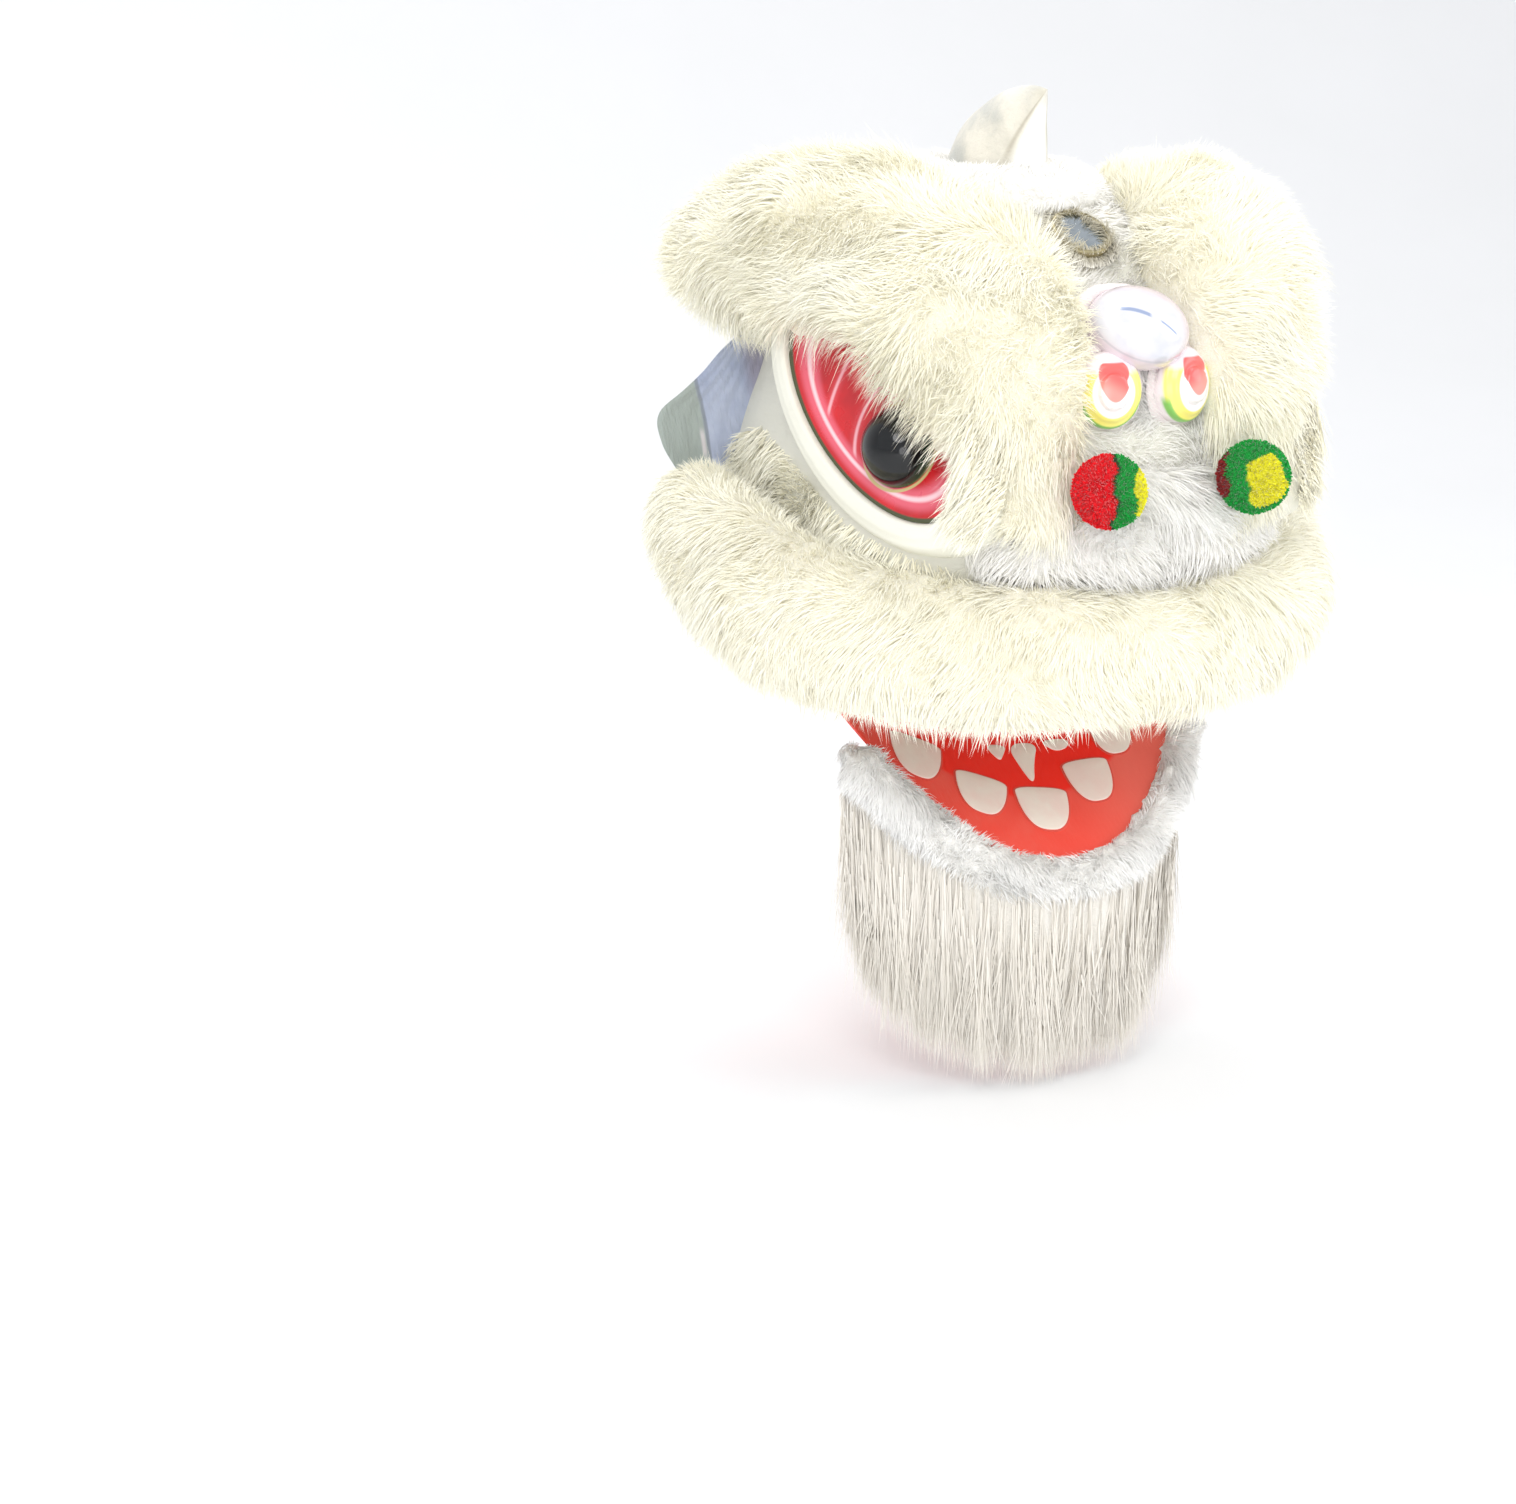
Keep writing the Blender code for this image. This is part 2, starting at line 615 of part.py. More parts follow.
def horn_collar(name, look=None, grow=0.0):
    """A ring of fur locks round the horn's foot."""
    rings = []
    steps, sides = 12, 8
    middle = from_nose(0, HORN_ROWS[0][0] - 0.003, CROWN[0] + 0.003)
    for i in range(steps):
        turn = 2 * math.pi * i / steps
        centre = middle + Vector((COLLAR_REACH[0] * math.cos(turn), COLLAR_REACH[1] * math.sin(turn), 0))
        outward = Vector((math.cos(turn) / COLLAR_REACH[0], math.sin(turn) / COLLAR_REACH[1], 0)).normalized()
        ring = []
        for j in range(sides):
            angle = 2 * math.pi * j / sides
            share = 1.0 if (i + j) % 2 == 0 else LOCK_DIP - 0.06
            reach = (COLLAR_HALF[0] * share + grow) * math.cos(angle)
            height = (COLLAR_HALF[1] * share + grow) * math.sin(angle) - 0.012 * math.cos(angle)
            ring.append(centre + outward * reach + Vector((0, 0, height)))
        rings.append(ring)
    return lofted(name, Matrix.Identity(4), rings, look, closed_ends=False)


# Pompoms and springs


def spring_line(side):
    """Foot on the muzzle, and the pompom's middle."""
    return (
        from_nose(side * SPRING_FOOT[0], SPRING_FOOT[1], SPRING_FOOT[2]),
        from_nose(side * POMPOM_PLACE[0], POMPOM_PLACE[1], POMPOM_PLACE[2]),
    )


def make_pompom(name, side):
    """A ball of wool whose tufts stand out in points, bored for the end of its spring."""
    foot, middle = spring_line(side)
    body = bmesh.new()
    bmesh.ops.create_icosphere(body, subdivisions=2, radius=POMPOM_RADIUS)
    tufts = 42
    vertices = []
    for i, vertex in enumerate(body.verts):
        vertices.append(middle + vertex.co * (1.0 if i < tufts else LOCK_DIP + 0.06))
    faces = [[v.index for v in f.verts] for f in body.faces]
    body.free()
    ball = object_from(name, vertices, faces, POMPOM_WOOL)
    back = (foot - middle).normalized()
    bore = cylinder(f"{name}_bore", middle + back * POMPOM_RADIUS * 1.3, middle + back * 0.018, WIRE_RADIUS + 0.0005, 8)
    return combine(ball, bore)


def make_spring(name, side):
    """One wire: a straight lead at each end and a close coil between them."""
    foot, middle = spring_line(side)
    rise = (middle - foot).normalized()
    across = rise.orthogonal().normalized()
    beside = rise.cross(across)
    start, end = 0.0, (middle - foot).length - POMPOM_RADIUS + 0.010
    steps = SPRING_TURNS * WIRE_STEPS_A_TURN
    points = [foot + rise * (start - 0.004)]
    for i in range(steps + 1):
        turn = 2 * math.pi * i / WIRE_STEPS_A_TURN
        place = start + SPRING_LEAD + (end - start - 2 * SPRING_LEAD - 0.006) * i / steps
        swell = SPRING_RADIUS * min(1.0, i / 3, (steps - i) / 3)
        points.append(foot + rise * place + swell * (across * math.cos(turn) + beside * math.sin(turn)))
    points.append(foot + rise * end)
    curve = bpy.data.curves.new(name, "CURVE")
    curve.dimensions = "3D"
    curve.bevel_depth = WIRE_RADIUS
    curve.bevel_resolution = 0
    curve.use_fill_caps = True
    line = curve.splines.new("POLY")
    line.points.add(len(points) - 1)
    for spot, point in zip(line.points, points):
        spot.co = (*point, 1.0)
    drawn = bpy.data.objects.new(f"{name}_line", curve)
    PARTS.objects.link(drawn)
    bpy.context.view_layer.update()
    solid = bpy.data.meshes.new_from_object(drawn.evaluated_get(bpy.context.evaluated_depsgraph_get()))
    vertices = [drawn.matrix_world @ v.co for v in solid.vertices]
    faces = [list(p.vertices) for p in solid.polygons]
    bpy.data.objects.remove(drawn, do_unlink=True)
    return combine(object_from(name, vertices, faces, WIRE_BRASS), SKIN)


# Ears


def ear(name, side, look=None):
    """A cupped leaf of satin over card, open to the front."""
    rise = facing(side * EAR_LEAN[0], EAR_LEAN[1], EAR_LEAN[2])
    across = facing(side * EAR_ACROSS[0], EAR_ACROSS[1], EAR_ACROSS[2])
    front = across.cross(rise) * side
    front = front if front.y < 0 else -front
    foot = from_nose(side * EAR_FOOT[0], EAR_FOOT[1], EAR_FOOT[2])
    columns = 7
    vertices, faces = [], []
    for share, half, set_out in EAR_ROWS:
        for k in range(columns):
            place = 2 * k / (columns - 1) - 1
            cup = EAR_CUP * (1 - place**2) * math.sin(math.pi * min(1.0, share + 0.25))
            vertices.append(foot + rise * (EAR_HEIGHT * share) + across * (half * place + set_out) - front * cup)
    for r in range(len(EAR_ROWS) - 1):
        for k in range(columns - 1):
            a = r * columns + k
            faces.append([a, a + 1, a + columns + 1, a + columns])
    leaf = object_from(name, vertices, faces, look)
    wall = leaf.modifiers.new("wall", "SOLIDIFY")
    wall.thickness = EAR_THICK
    wall.offset = 0
    return leaf


# The jaw


def jaw_point(side_place, along, off=0.0):
    """A place on the board: sideways, up the slope from its tip, and off its face. Its sides curl up."""
    lift = JAW_CURL * side_place**2 + off
    back, up = math.cos(JAW_SLOPE), math.sin(JAW_SLOPE)
    return from_nose(side_place, JAW_TIP[0] - along * back + lift * up, JAW_TIP[1] + along * up + lift * back)


def jaw_dish(name, look=None, grow=0.0):
    """The red board: a shallow spoon, round at the front."""
    rows = through([(row[0], 0.0, 0.0, row[1]) for row in JAW_ROWS], 11)
    columns = 7
    vertices, faces = [], []
    for under in (0, 1):
        for along, _, _, half in rows:
            for k in range(columns):
                place = (2 * k / (columns - 1) - 1) * (half + grow)
                vertices.append(jaw_point(place, along - (grow if along == 0 else 0), -under * JAW_THICK - grow * (2 * under - 1)))
    count = len(rows) * columns
    edge = []
    for r in range(len(rows) - 1):
        for k in range(columns - 1):
            a = r * columns + k
            quad = [a, a + 1, a + columns + 1, a + columns]
            faces += [quad, [i + count for i in reversed(quad)]]
    edge += list(range(columns))
    edge += [r * columns + columns - 1 for r in range(1, len(rows))]
    edge += [(len(rows) - 1) * columns + k for k in range(columns - 2, -1, -1)]
    edge += [r * columns for r in range(len(rows) - 2, 0, -1)]
    for i, a in enumerate(edge):
        b = edge[(i + 1) % len(edge)]
        faces.append([a, b, b + count, a + count])
    return object_from(name, vertices, faces, look)


def hull_of_circles(first, second, radius, steps=9):
    """Outline of a bar with round ends between two points of the side view."""
    along = (second - first).normalized()
    across = Vector((-along.y, along.x))
    outline = []
    for centre, start in ((second, 0), (first, math.pi)):
        for i in range(steps):
            angle = start - math.pi / 2 + math.pi * i / (steps - 1)
            outline.append(centre + radius * (along * math.cos(angle) + across * math.sin(angle)))
    return outline


def jaw_arm(name, side):
    """A flat arm from the back corner of the board up to the hinge."""
    corner = jaw_point(ARM_MIDDLE, JAW_ROWS[-1][0] - ARM_FOOT_BACK) - NOSE
    outline = hull_of_circles(Vector((-corner.y, corner.z)), Vector(HINGE), ARM_HALF)
    rings = []
    for x in (ARM_MIDDLE - ARM_THICK / 2, ARM_MIDDLE + ARM_THICK / 2):
        rings.append([from_nose(side * x, p.x, p.y) for p in outline])
    return lofted(name, Matrix.Identity(4), rings)


def make_jaw_board():
    board = jaw_dish("jaw_board", JAW_RED)
    combine(board, jaw_arm("arm_right", -1), jaw_arm("arm_left", 1), operation="UNION")
    eye_end = from_nose(0.26, *HINGE)
    hole = cylinder("hinge_hole", (-eye_end.x, eye_end.y, eye_end.z), eye_end, PIN_RADIUS + PIN_PLAY, 16)
    return combine(board, hole)


def make_jaw_pin(name, side):
    """A plain pin in the cheek, with a head that keeps the arm on."""
    inner, outer = from_nose(side * PIN_INNER_END, *HINGE), from_nose(side * 0.262, *HINGE)
    pin = cylinder(name, inner, outer, PIN_RADIUS, 12, PIN_STEEL)
    head = cylinder(f"{name}_head", inner - Vector((side * 0.0005, 0, 0)), inner + Vector((side * 0.004, 0, 0)), 0.010, 12)
    combine(pin, head, operation="UNION")
    return combine(pin, CAVITY, operation="INTERSECT")


def trim_rows():
    """The fur trim's path round the edge of the board."""
    rows = []
    width = np.array(through([(row[0], 0.0, 0.0, row[1]) for row in JAW_ROWS], 60))
    for along in TRIM_ROWS:
        half = float(np.interp(along, width[:, 0], width[:, 3]))
        if along == 0:
            half = 0.0
        place = jaw_point(half, along, -TRIM_DOWN)
        slope = float(np.interp(along + 0.012, width[:, 0], width[:, 3])) - half
        away = Vector((0.012, slope)).normalized() if half else Vector((0.0, 1.0))
        up_slope = jaw_point(0, 1.0) - jaw_point(0, 0.0)
        place += Vector((away.x * TRIM_OUT, 0, 0)) - up_slope.normalized() * away.y * TRIM_OUT
        size = TRIM_HALF * (0.45 if along == TRIM_ROWS[0] else 1.0)
        rows.append((*place, size, size * 0.92))
    return rows


def jaw_fur(name, look=None, grow=0.0):
    half = trim_rows()
    other = [(-row[0], *row[1:]) for row in reversed(half[:-1])]
    middle = jaw_point(0, 0.10)
    return fur_roll(name, half + other, 23, lambda p: p - middle, look, grow, THIN_FUR_SIDES)


def make_beard():
    """A curtain of long locks under the chin: fluted strips whose ends are cut ragged."""
    half = [(row[0], row[1], 0.0, row[2], row[3], row[4]) for row in BEARD_ROWS]
    other = [(-row[0], *row[1:]) for row in reversed(half[:-1])]
    strips = through(half + other, BEARD_STRIPS)
    skins = []
    for front in (1, -1):
        skin = []
        for i, (side, ahead, _, top, bottom, thick) in enumerate(strips):
            proud = thick * (1.0 if i % 2 else 0.62)
            end = bottom + (0.0 if i % 2 else 0.026)
            away = Vector((side, ahead + 0.30)).normalized()
            line = []
            for level in BEARD_LEVELS:
                off = front * proud * (1 - 0.55 * level)
                line.append(from_nose(side + away.x * off, ahead + away.y * off, top + (end - top) * level))
            skin.append(line)
        skins.append(skin)
    tips = []
    for i, (side, ahead, _, top, bottom, thick) in enumerate(strips):
        tips.append(from_nose(side, ahead, bottom + (0.0 if i % 2 else 0.026)))
    rows = len(BEARD_LEVELS)
    vertices = [p for skin in skins for line in skin for p in line] + tips
    count = BEARD_STRIPS * rows
    faces = []
    for i in range(BEARD_STRIPS - 1):
        for r in range(rows - 1):
            a = i * rows + r
            quad = [a, a + 1, a + rows + 1, a + rows]
            faces += [quad, [q + count for q in reversed(quad)]]
        top, tip = i * rows, 2 * count + i
        faces.append([top, top + rows, top + rows + count, top + count])
        low = i * rows + rows - 1
        faces += [[low, tip, tip + 1, low + rows], [low + count, low + rows + count, tip + 1, tip]]
    for i in (0, BEARD_STRIPS - 1):
        side_face = [i * rows + r for r in range(rows)] + [2 * count + i]
        side_face += [i * rows + r + count for r in range(rows - 1, -1, -1)]
        faces.append(side_face)
    return object_from("beard", vertices, faces, FUR_WHITE)


# Assembly

shell = make_head_shell()
combine(nose_bulb("nose_bulb", NOSE_WHITE), SKIN)
combine(horn("horn", HORN_CREAM), SKIN)
make_mirror()

LIP_CUTTER = front_fur("lip_cutter", LIP_ROWS, LIP_SECTIONS, grow=GAP)
BULB_CUTTER = nose_bulb("bulb_cutter", grow=GAP)
lip = combine(front_fur("lip_fur", LIP_ROWS, LIP_SECTIONS, FUR_CREAM), SKIN)
muzzle = front_fur("muzzle_fur", MUZZLE_ROWS, MUZZLE_SECTIONS, FUR_WHITE, sides=THIN_FUR_SIDES)
combine(muzzle, SKIN, LIP_CUTTER, BULB_CUTTER)
collar = combine(horn_collar("horn_collar", FUR_WHITE), SKIN, horn("horn_cutter", grow=GAP))

for word, side in (("right", -1), ("left", 1)):
    eye_cutter = eye_block(f"eye_cutter_{word}", side, 0.0006)
    pupil_cutter = pupil_body(f"pupil_cutter_{word}", side, 0.0006)
    nostril_cutter = nostril(f"nostril_cutter_{word}", side, grow=GAP)
    brow_cutter = brow_fur(f"brow_cutter_{word}", side, grow=GAP)
    make_eye_socket(f"eye_socket_{word}", side)
    make_eye_panel(f"eye_panel_{word}", side)
    pupil_body(f"pupil_{word}", side, 0.0, PUPIL_BLACK)
    combine(nostril(f"nostril_{word}", side, NOSTRIL_PINK), SKIN, BULB_CUTTER)
    brow = brow_fur(f"brow_fur_{word}", side, FUR_CREAM)
    combine(brow, SKIN, eye_cutter, pupil_cutter, LIP_CUTTER, nostril_cutter, BULB_CUTTER)
    make_pompom(f"pompom_{word}", side)
    make_spring(f"pompom_spring_{word}", side)
    combine(ear(f"ear_{word}", side, EAR_SATIN), SKIN, LIP_CUTTER, brow_cutter)
    make_jaw_pin(f"jaw_pin_{word}", side)
    foot, ball = spring_line(side)
    spring_bore = cylinder(f"spring_bore_{word}", foot - (ball - foot) * 0.2, ball, SPRING_RADIUS + 2 * WIRE_RADIUS, 8)
    opening = lofted(f"eye_opening_{word}", eye_frame(side), [oval(0.0, 0.020), oval(0.0, -0.100)])
    combine(shell, opening)
    combine(brow, spring_bore)
    combine(lip, eye_cutter)
    combine(collar, brow_cutter)
    combine(muzzle, eye_cutter, nostril_cutter, brow_cutter, spring_bore)

bar_turn = Matrix.Diagonal((0.60, BAR_DEEP, BAR_HIGH, 1.0))
combine(primitive("carry_bar", bmesh.ops.create_cube, BAR_WOOD, bar_turn, size=1.0), CAVITY, operation="INTERSECT")

make_jaw_board()
combine(jaw_fur("jaw_fur", FUR_WHITE), jaw_dish("dish_cutter", grow=GAP))
combine(make_beard(), jaw_fur("trim_cutter", grow=GAP), jaw_dish("dish_cutter_low", grow=GAP))
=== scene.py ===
"""Looks of the lion dance head: combed fur, painted eyes, nose and mouth, and satin ears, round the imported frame."""

import math

import bmesh
import bpy
import numpy as np
from mathutils import Matrix, Vector


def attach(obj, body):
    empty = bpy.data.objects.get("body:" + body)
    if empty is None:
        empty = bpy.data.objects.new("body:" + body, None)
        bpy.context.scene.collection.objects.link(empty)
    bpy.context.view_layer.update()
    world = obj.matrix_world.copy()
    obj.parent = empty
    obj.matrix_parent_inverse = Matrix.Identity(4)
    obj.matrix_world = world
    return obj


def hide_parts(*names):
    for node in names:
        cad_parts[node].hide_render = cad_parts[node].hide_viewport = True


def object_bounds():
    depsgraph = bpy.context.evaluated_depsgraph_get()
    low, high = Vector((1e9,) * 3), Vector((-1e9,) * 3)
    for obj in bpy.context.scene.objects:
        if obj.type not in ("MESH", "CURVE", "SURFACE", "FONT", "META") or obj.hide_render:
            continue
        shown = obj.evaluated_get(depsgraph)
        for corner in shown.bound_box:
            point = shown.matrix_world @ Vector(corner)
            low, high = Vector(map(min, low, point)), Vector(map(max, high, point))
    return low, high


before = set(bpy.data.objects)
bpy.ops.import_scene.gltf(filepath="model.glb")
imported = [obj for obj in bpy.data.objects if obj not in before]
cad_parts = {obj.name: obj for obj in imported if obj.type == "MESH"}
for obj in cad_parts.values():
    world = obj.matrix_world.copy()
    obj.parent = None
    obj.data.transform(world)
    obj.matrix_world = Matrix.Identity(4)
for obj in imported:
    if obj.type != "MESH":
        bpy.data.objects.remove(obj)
CAD_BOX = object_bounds()

# Numbers repeated from the part's source. Places on the face are (sideways, ahead, above) from the nose.
NOSE = np.array((0.0, -0.300, 0.220))
GAP = 0.0003
WALL = 0.004
SHELL_SQUARENESS = 2.3
SHELL_ROWS = (
    (0.108, 0.085, -0.160, -0.250, -0.350),
    (0.090, 0.135, -0.128, -0.245, -0.410),
    (0.060, 0.180, -0.092, -0.235, -0.455),
    (0.020, 0.208, -0.055, -0.225, -0.495),
    (-0.040, 0.227, -0.013, -0.213, -0.535),
    (-0.110, 0.241, 0.018, -0.206, -0.600),
    (-0.185, 0.250, 0.026, -0.205, -0.660),
    (-0.240, 0.254, 0.012, -0.205, -0.700),
    (-0.300, 0.255, -0.008, -0.205, -0.700),
    (-0.380, 0.249, -0.022, -0.205, -0.700),
)
CROWN = (0.116, -0.250)
REAR_TOP = (-0.462, -0.010)
REAR_FOOT = (-0.360, -0.380)
BROW_ROWS = (
    (0.084, 0.028, -0.208, 0.148, -0.012, -0.196, 0.018),
    (0.082, 0.034, -0.176, 0.188, -0.050, -0.166, 0.046),
    (0.082, 0.036, -0.118, 0.202, -0.066, -0.112, 0.062),
    (0.072, 0.036, -0.062, 0.236, -0.092, -0.054, 0.080),
    (0.054, 0.018, -0.008, 0.264, -0.140, -0.010, 0.096),
    (0.046, -0.040, 0.052, 0.286, -0.200, 0.000, 0.104),
    (0.068, -0.115, 0.102, 0.298, -0.258, 0.002, 0.102),
    (0.102, -0.195, 0.132, 0.306, -0.316, 0.000, 0.094),
    (0.140, -0.275, 0.140, 0.310, -0.366, 0.002, 0.080),
    (0.176, -0.348, 0.128, 0.308, -0.410, 0.012, 0.060),
    (0.210, -0.410, 0.100, 0.288, -0.446, 0.040, 0.034),
)
CORE = (0.0, -0.230, -0.120)
LIP_ROWS = (
    (0.280, -0.440, -0.214, 0.024, 0.022),
    (0.288, -0.405, -0.230, 0.064, 0.048),
    (0.298, -0.335, -0.256, 0.094, 0.064),
    (0.302, -0.252, -0.284, 0.104, 0.070),
    (0.288, -0.168, -0.306, 0.102, 0.070),
    (0.244, -0.090, -0.319, 0.095, 0.067),
    (0.174, -0.030, -0.324, 0.090, 0.064),
    (0.090, 0.004, -0.328, 0.088, 0.062),
    (0.000, 0.014, -0.330, 0.087, 0.062),
)
MUZZLE_ROWS = (
    (0.172, -0.062, -0.205, 0.020, 0.016),
    (0.150, -0.030, -0.200, 0.044, 0.032),
    (0.100, 0.002, -0.196, 0.056, 0.036),
    (0.045, 0.018, -0.192, 0.062, 0.036),
    (0.000, 0.022, -0.190, 0.064, 0.036),
)
EYE_PLACE = (0.232, -0.116, -0.074)
EYE_FACING = (0.91, 0.34, 0.22)
EYE_LONG = 0.148
EYE_SHORT = 0.078
EYE_SLANT = math.radians(38)
EYE_COS, EYE_SIN = math.cos(EYE_SLANT), math.sin(EYE_SLANT)
SOCKET_WIDTH = 0.032
SOCKET_PROFILE = ((0.20, 0.000), (0.62, -0.005), (0.92, -0.018), (1.00, -0.032), (0.90, -0.075))
DISH_DEPTH = 0.014
DISH_THICK = 0.003
PUPIL_SHIFT = (-0.028, -0.038)
PUPIL_RADIUS = 0.043
PUPIL_PROUD = 0.024
BULB_HALF = (0.054, 0.050, 0.036)
BULB_TILT = math.radians(32)
NOSTRIL_PLACE = (0.043, 0.012, -0.058)
NOSTRIL_HALF = (0.033, 0.027, 0.038)
NOSTRIL_TURN = math.radians(14)
MIRROR_PLACE = (0.0, -0.103, 0.084)
MIRROR_TILT = math.radians(38)
MIRROR_RADIUS = 0.026
FRAME_WIDTH = 0.006
HORN_ROWS = (
    (-0.266, 0.085, 0.052, 0.078),
    (-0.262, 0.112, 0.051, 0.076),
    (-0.251, 0.142, 0.046, 0.068),
    (-0.233, 0.170, 0.037, 0.053),
    (-0.209, 0.195, 0.024, 0.034),
    (-0.183, 0.214, 0.010, 0.014),
)
HORN_TIP = (-0.169, 0.222)
COLLAR_REACH = (0.078, 0.104)
COLLAR_HALF = (0.036, 0.026)
POMPOM_PLACE = (0.086, 0.084, -0.143)
POMPOM_RADIUS = 0.037
SPRING_FOOT = (0.086, 0.014, -0.192)
SPRING_RADIUS = 0.0055
WIRE_RADIUS = 0.0010
SPRING_TURNS = 5
SPRING_LEAD = 0.012
EAR_FOOT = (0.217, -0.381, -0.186)
EAR_HEIGHT = 0.150
EAR_LEAN = (0.10, -0.12, 0.96)
EAR_ACROSS = (0.78, -0.62, 0.0)
EAR_ROWS = (
    (0.00, 0.046, 0.040),
    (0.20, 0.059, 0.040),
    (0.45, 0.059, 0.035),
    (0.58, 0.047, 0.022),
    (0.72, 0.036, 0.008),
    (0.88, 0.025, -0.005),
    (1.00, 0.006, -0.007),
)
EAR_CUP = 0.018
EAR_THICK = 0.003
JAW_TIP = (-0.095, -0.568)
JAW_SLOPE = math.radians(40)
JAW_ROWS = (
    (0.000, 0.036),
    (0.014, 0.068),
    (0.034, 0.098),
    (0.062, 0.128),
    (0.096, 0.156),
    (0.136, 0.181),
    (0.176, 0.201),
    (0.216, 0.216),
    (0.262, 0.2235),
)
JAW_CURL = 0.95
JAW_THICK = 0.005
HINGE = (-0.350, -0.300)
ARM_MIDDLE = 0.222
ARM_THICK = 0.006
ARM_HALF = 0.015
ARM_FOOT_BACK = 0.014
TRIM_ROWS = (0.160, 0.150, 0.128, 0.100, 0.070, 0.042, 0.018, 0.000)
TRIM_HALF = 0.030
TRIM_OUT = 0.016
TRIM_DOWN = 0.014
BEARD_ROWS = (
    (0.205, -0.212, -0.482, -0.700, 0.012),
    (0.175, -0.178, -0.512, -0.750, 0.018),
    (0.130, -0.140, -0.550, -0.780, 0.021),
    (0.070, -0.104, -0.585, -0.792, 0.023),
    (0.000, -0.096, -0.596, -0.796, 0.023),
)

# The photograph's camera
CAMERA_PLACE = (-1.99034, -3.14250, 0.67684)
CAMERA_YAW = math.radians(28.811)
CAMERA_PITCH = math.radians(-14.451)
CAMERA_LENS = 3500 / 1516 * 36
VIEW_RIGHT = np.array((math.cos(CAMERA_YAW), -math.sin(CAMERA_YAW), 0.0))
VIEW_BACK = -np.array((math.sin(CAMERA_YAW), math.cos(CAMERA_YAW), -0.25))
VIEW_UP = np.array((math.sin(CAMERA_YAW) * 0.25, math.cos(CAMERA_YAW) * 0.25, 0.97))


def from_nose(side, ahead, above):
    return np.array((side, NOSE[1] - ahead, NOSE[2] + above))


def on_side(place, side):
    """A place on the face, mirrored for the right side."""
    return from_nose(side * place[0], place[1], place[2])


def facing(way, side):
    way = np.array((side * way[0], -way[1], way[2]), float)
    return way / np.linalg.norm(way)


def from_face(points):
    """How far ahead of the nose and above it points are."""
    return NOSE[1] - points[:, 1], points[:, 2] - NOSE[2]


def turns(count):
    """Angles spread evenly round a circle."""
    return np.arange(count) * 2 * math.pi / count


def unit(vectors):
    return vectors / np.maximum(np.linalg.norm(vectors, axis=-1, keepdims=True), 1e-9)


def smooth(value, low, high):
    """0 below low and 1 above high, with a soft step between them."""
    t = np.clip((value - low) / (high - low), 0, 1)
    return t * t * (3 - 2 * t)


def through(rows, count):
    """count rows read evenly from a smooth curve through the given rows."""
    rows = np.array(rows, float)
    reach = np.concatenate([[0], np.cumsum(np.linalg.norm(np.diff(rows[:, :3], axis=0), axis=1))])
    slopes = np.gradient(rows, reach, axis=0)
    place = np.linspace(0, reach[-1], count)
    i = np.clip(np.searchsorted(reach, place, side="right") - 1, 0, len(reach) - 2)
    span = (reach[i + 1] - reach[i])[:, None]
    t = ((place - reach[i])[:, None]) / span
    return (
        (2 * t**3 - 3 * t**2 + 1) * rows[i]
        + (t**3 - 2 * t**2 + t) * span * slopes[i]
        + (3 * t**2 - 2 * t**3) * rows[i + 1]
        + (t**3 - t**2) * span * slopes[i + 1]
    )


def ripple(points, size, seed):
    """Smooth noise between about -1 and 1, with waves of about the given size in metres."""
    draw = np.random.default_rng(seed)
    total = np.zeros(len(points))
    for _ in range(6):
        way = unit(draw.normal(size=3)) * 2 * math.pi / (size * (0.7 + 0.7 * draw.random()))
        total += np.sin(points @ way + draw.random() * 2 * math.pi)
    return total / 2.6


def ripples(points, size, seed):
    """Three ripples, as a vector."""
    return np.stack([ripple(points, size, seed + k) for k in range(3)], axis=1)


# Materials


def sum_of(operation, swapped=False):
    def result(self, other):
        return self.paint.math(operation, *((other, self) if swapped else (self, other)))

    return result


class Value:
    """A socket of a material's node tree, for sums written as they read."""

    __add__, __radd__ = sum_of("ADD"), sum_of("ADD", True)
    __sub__, __rsub__ = sum_of("SUBTRACT"), sum_of("SUBTRACT", True)
    __mul__, __rmul__ = sum_of("MULTIPLY"), sum_of("MULTIPLY", True)
    __truediv__ = sum_of("DIVIDE")

    def __init__(self, paint, socket):
        self.paint = paint
        self.socket = socket


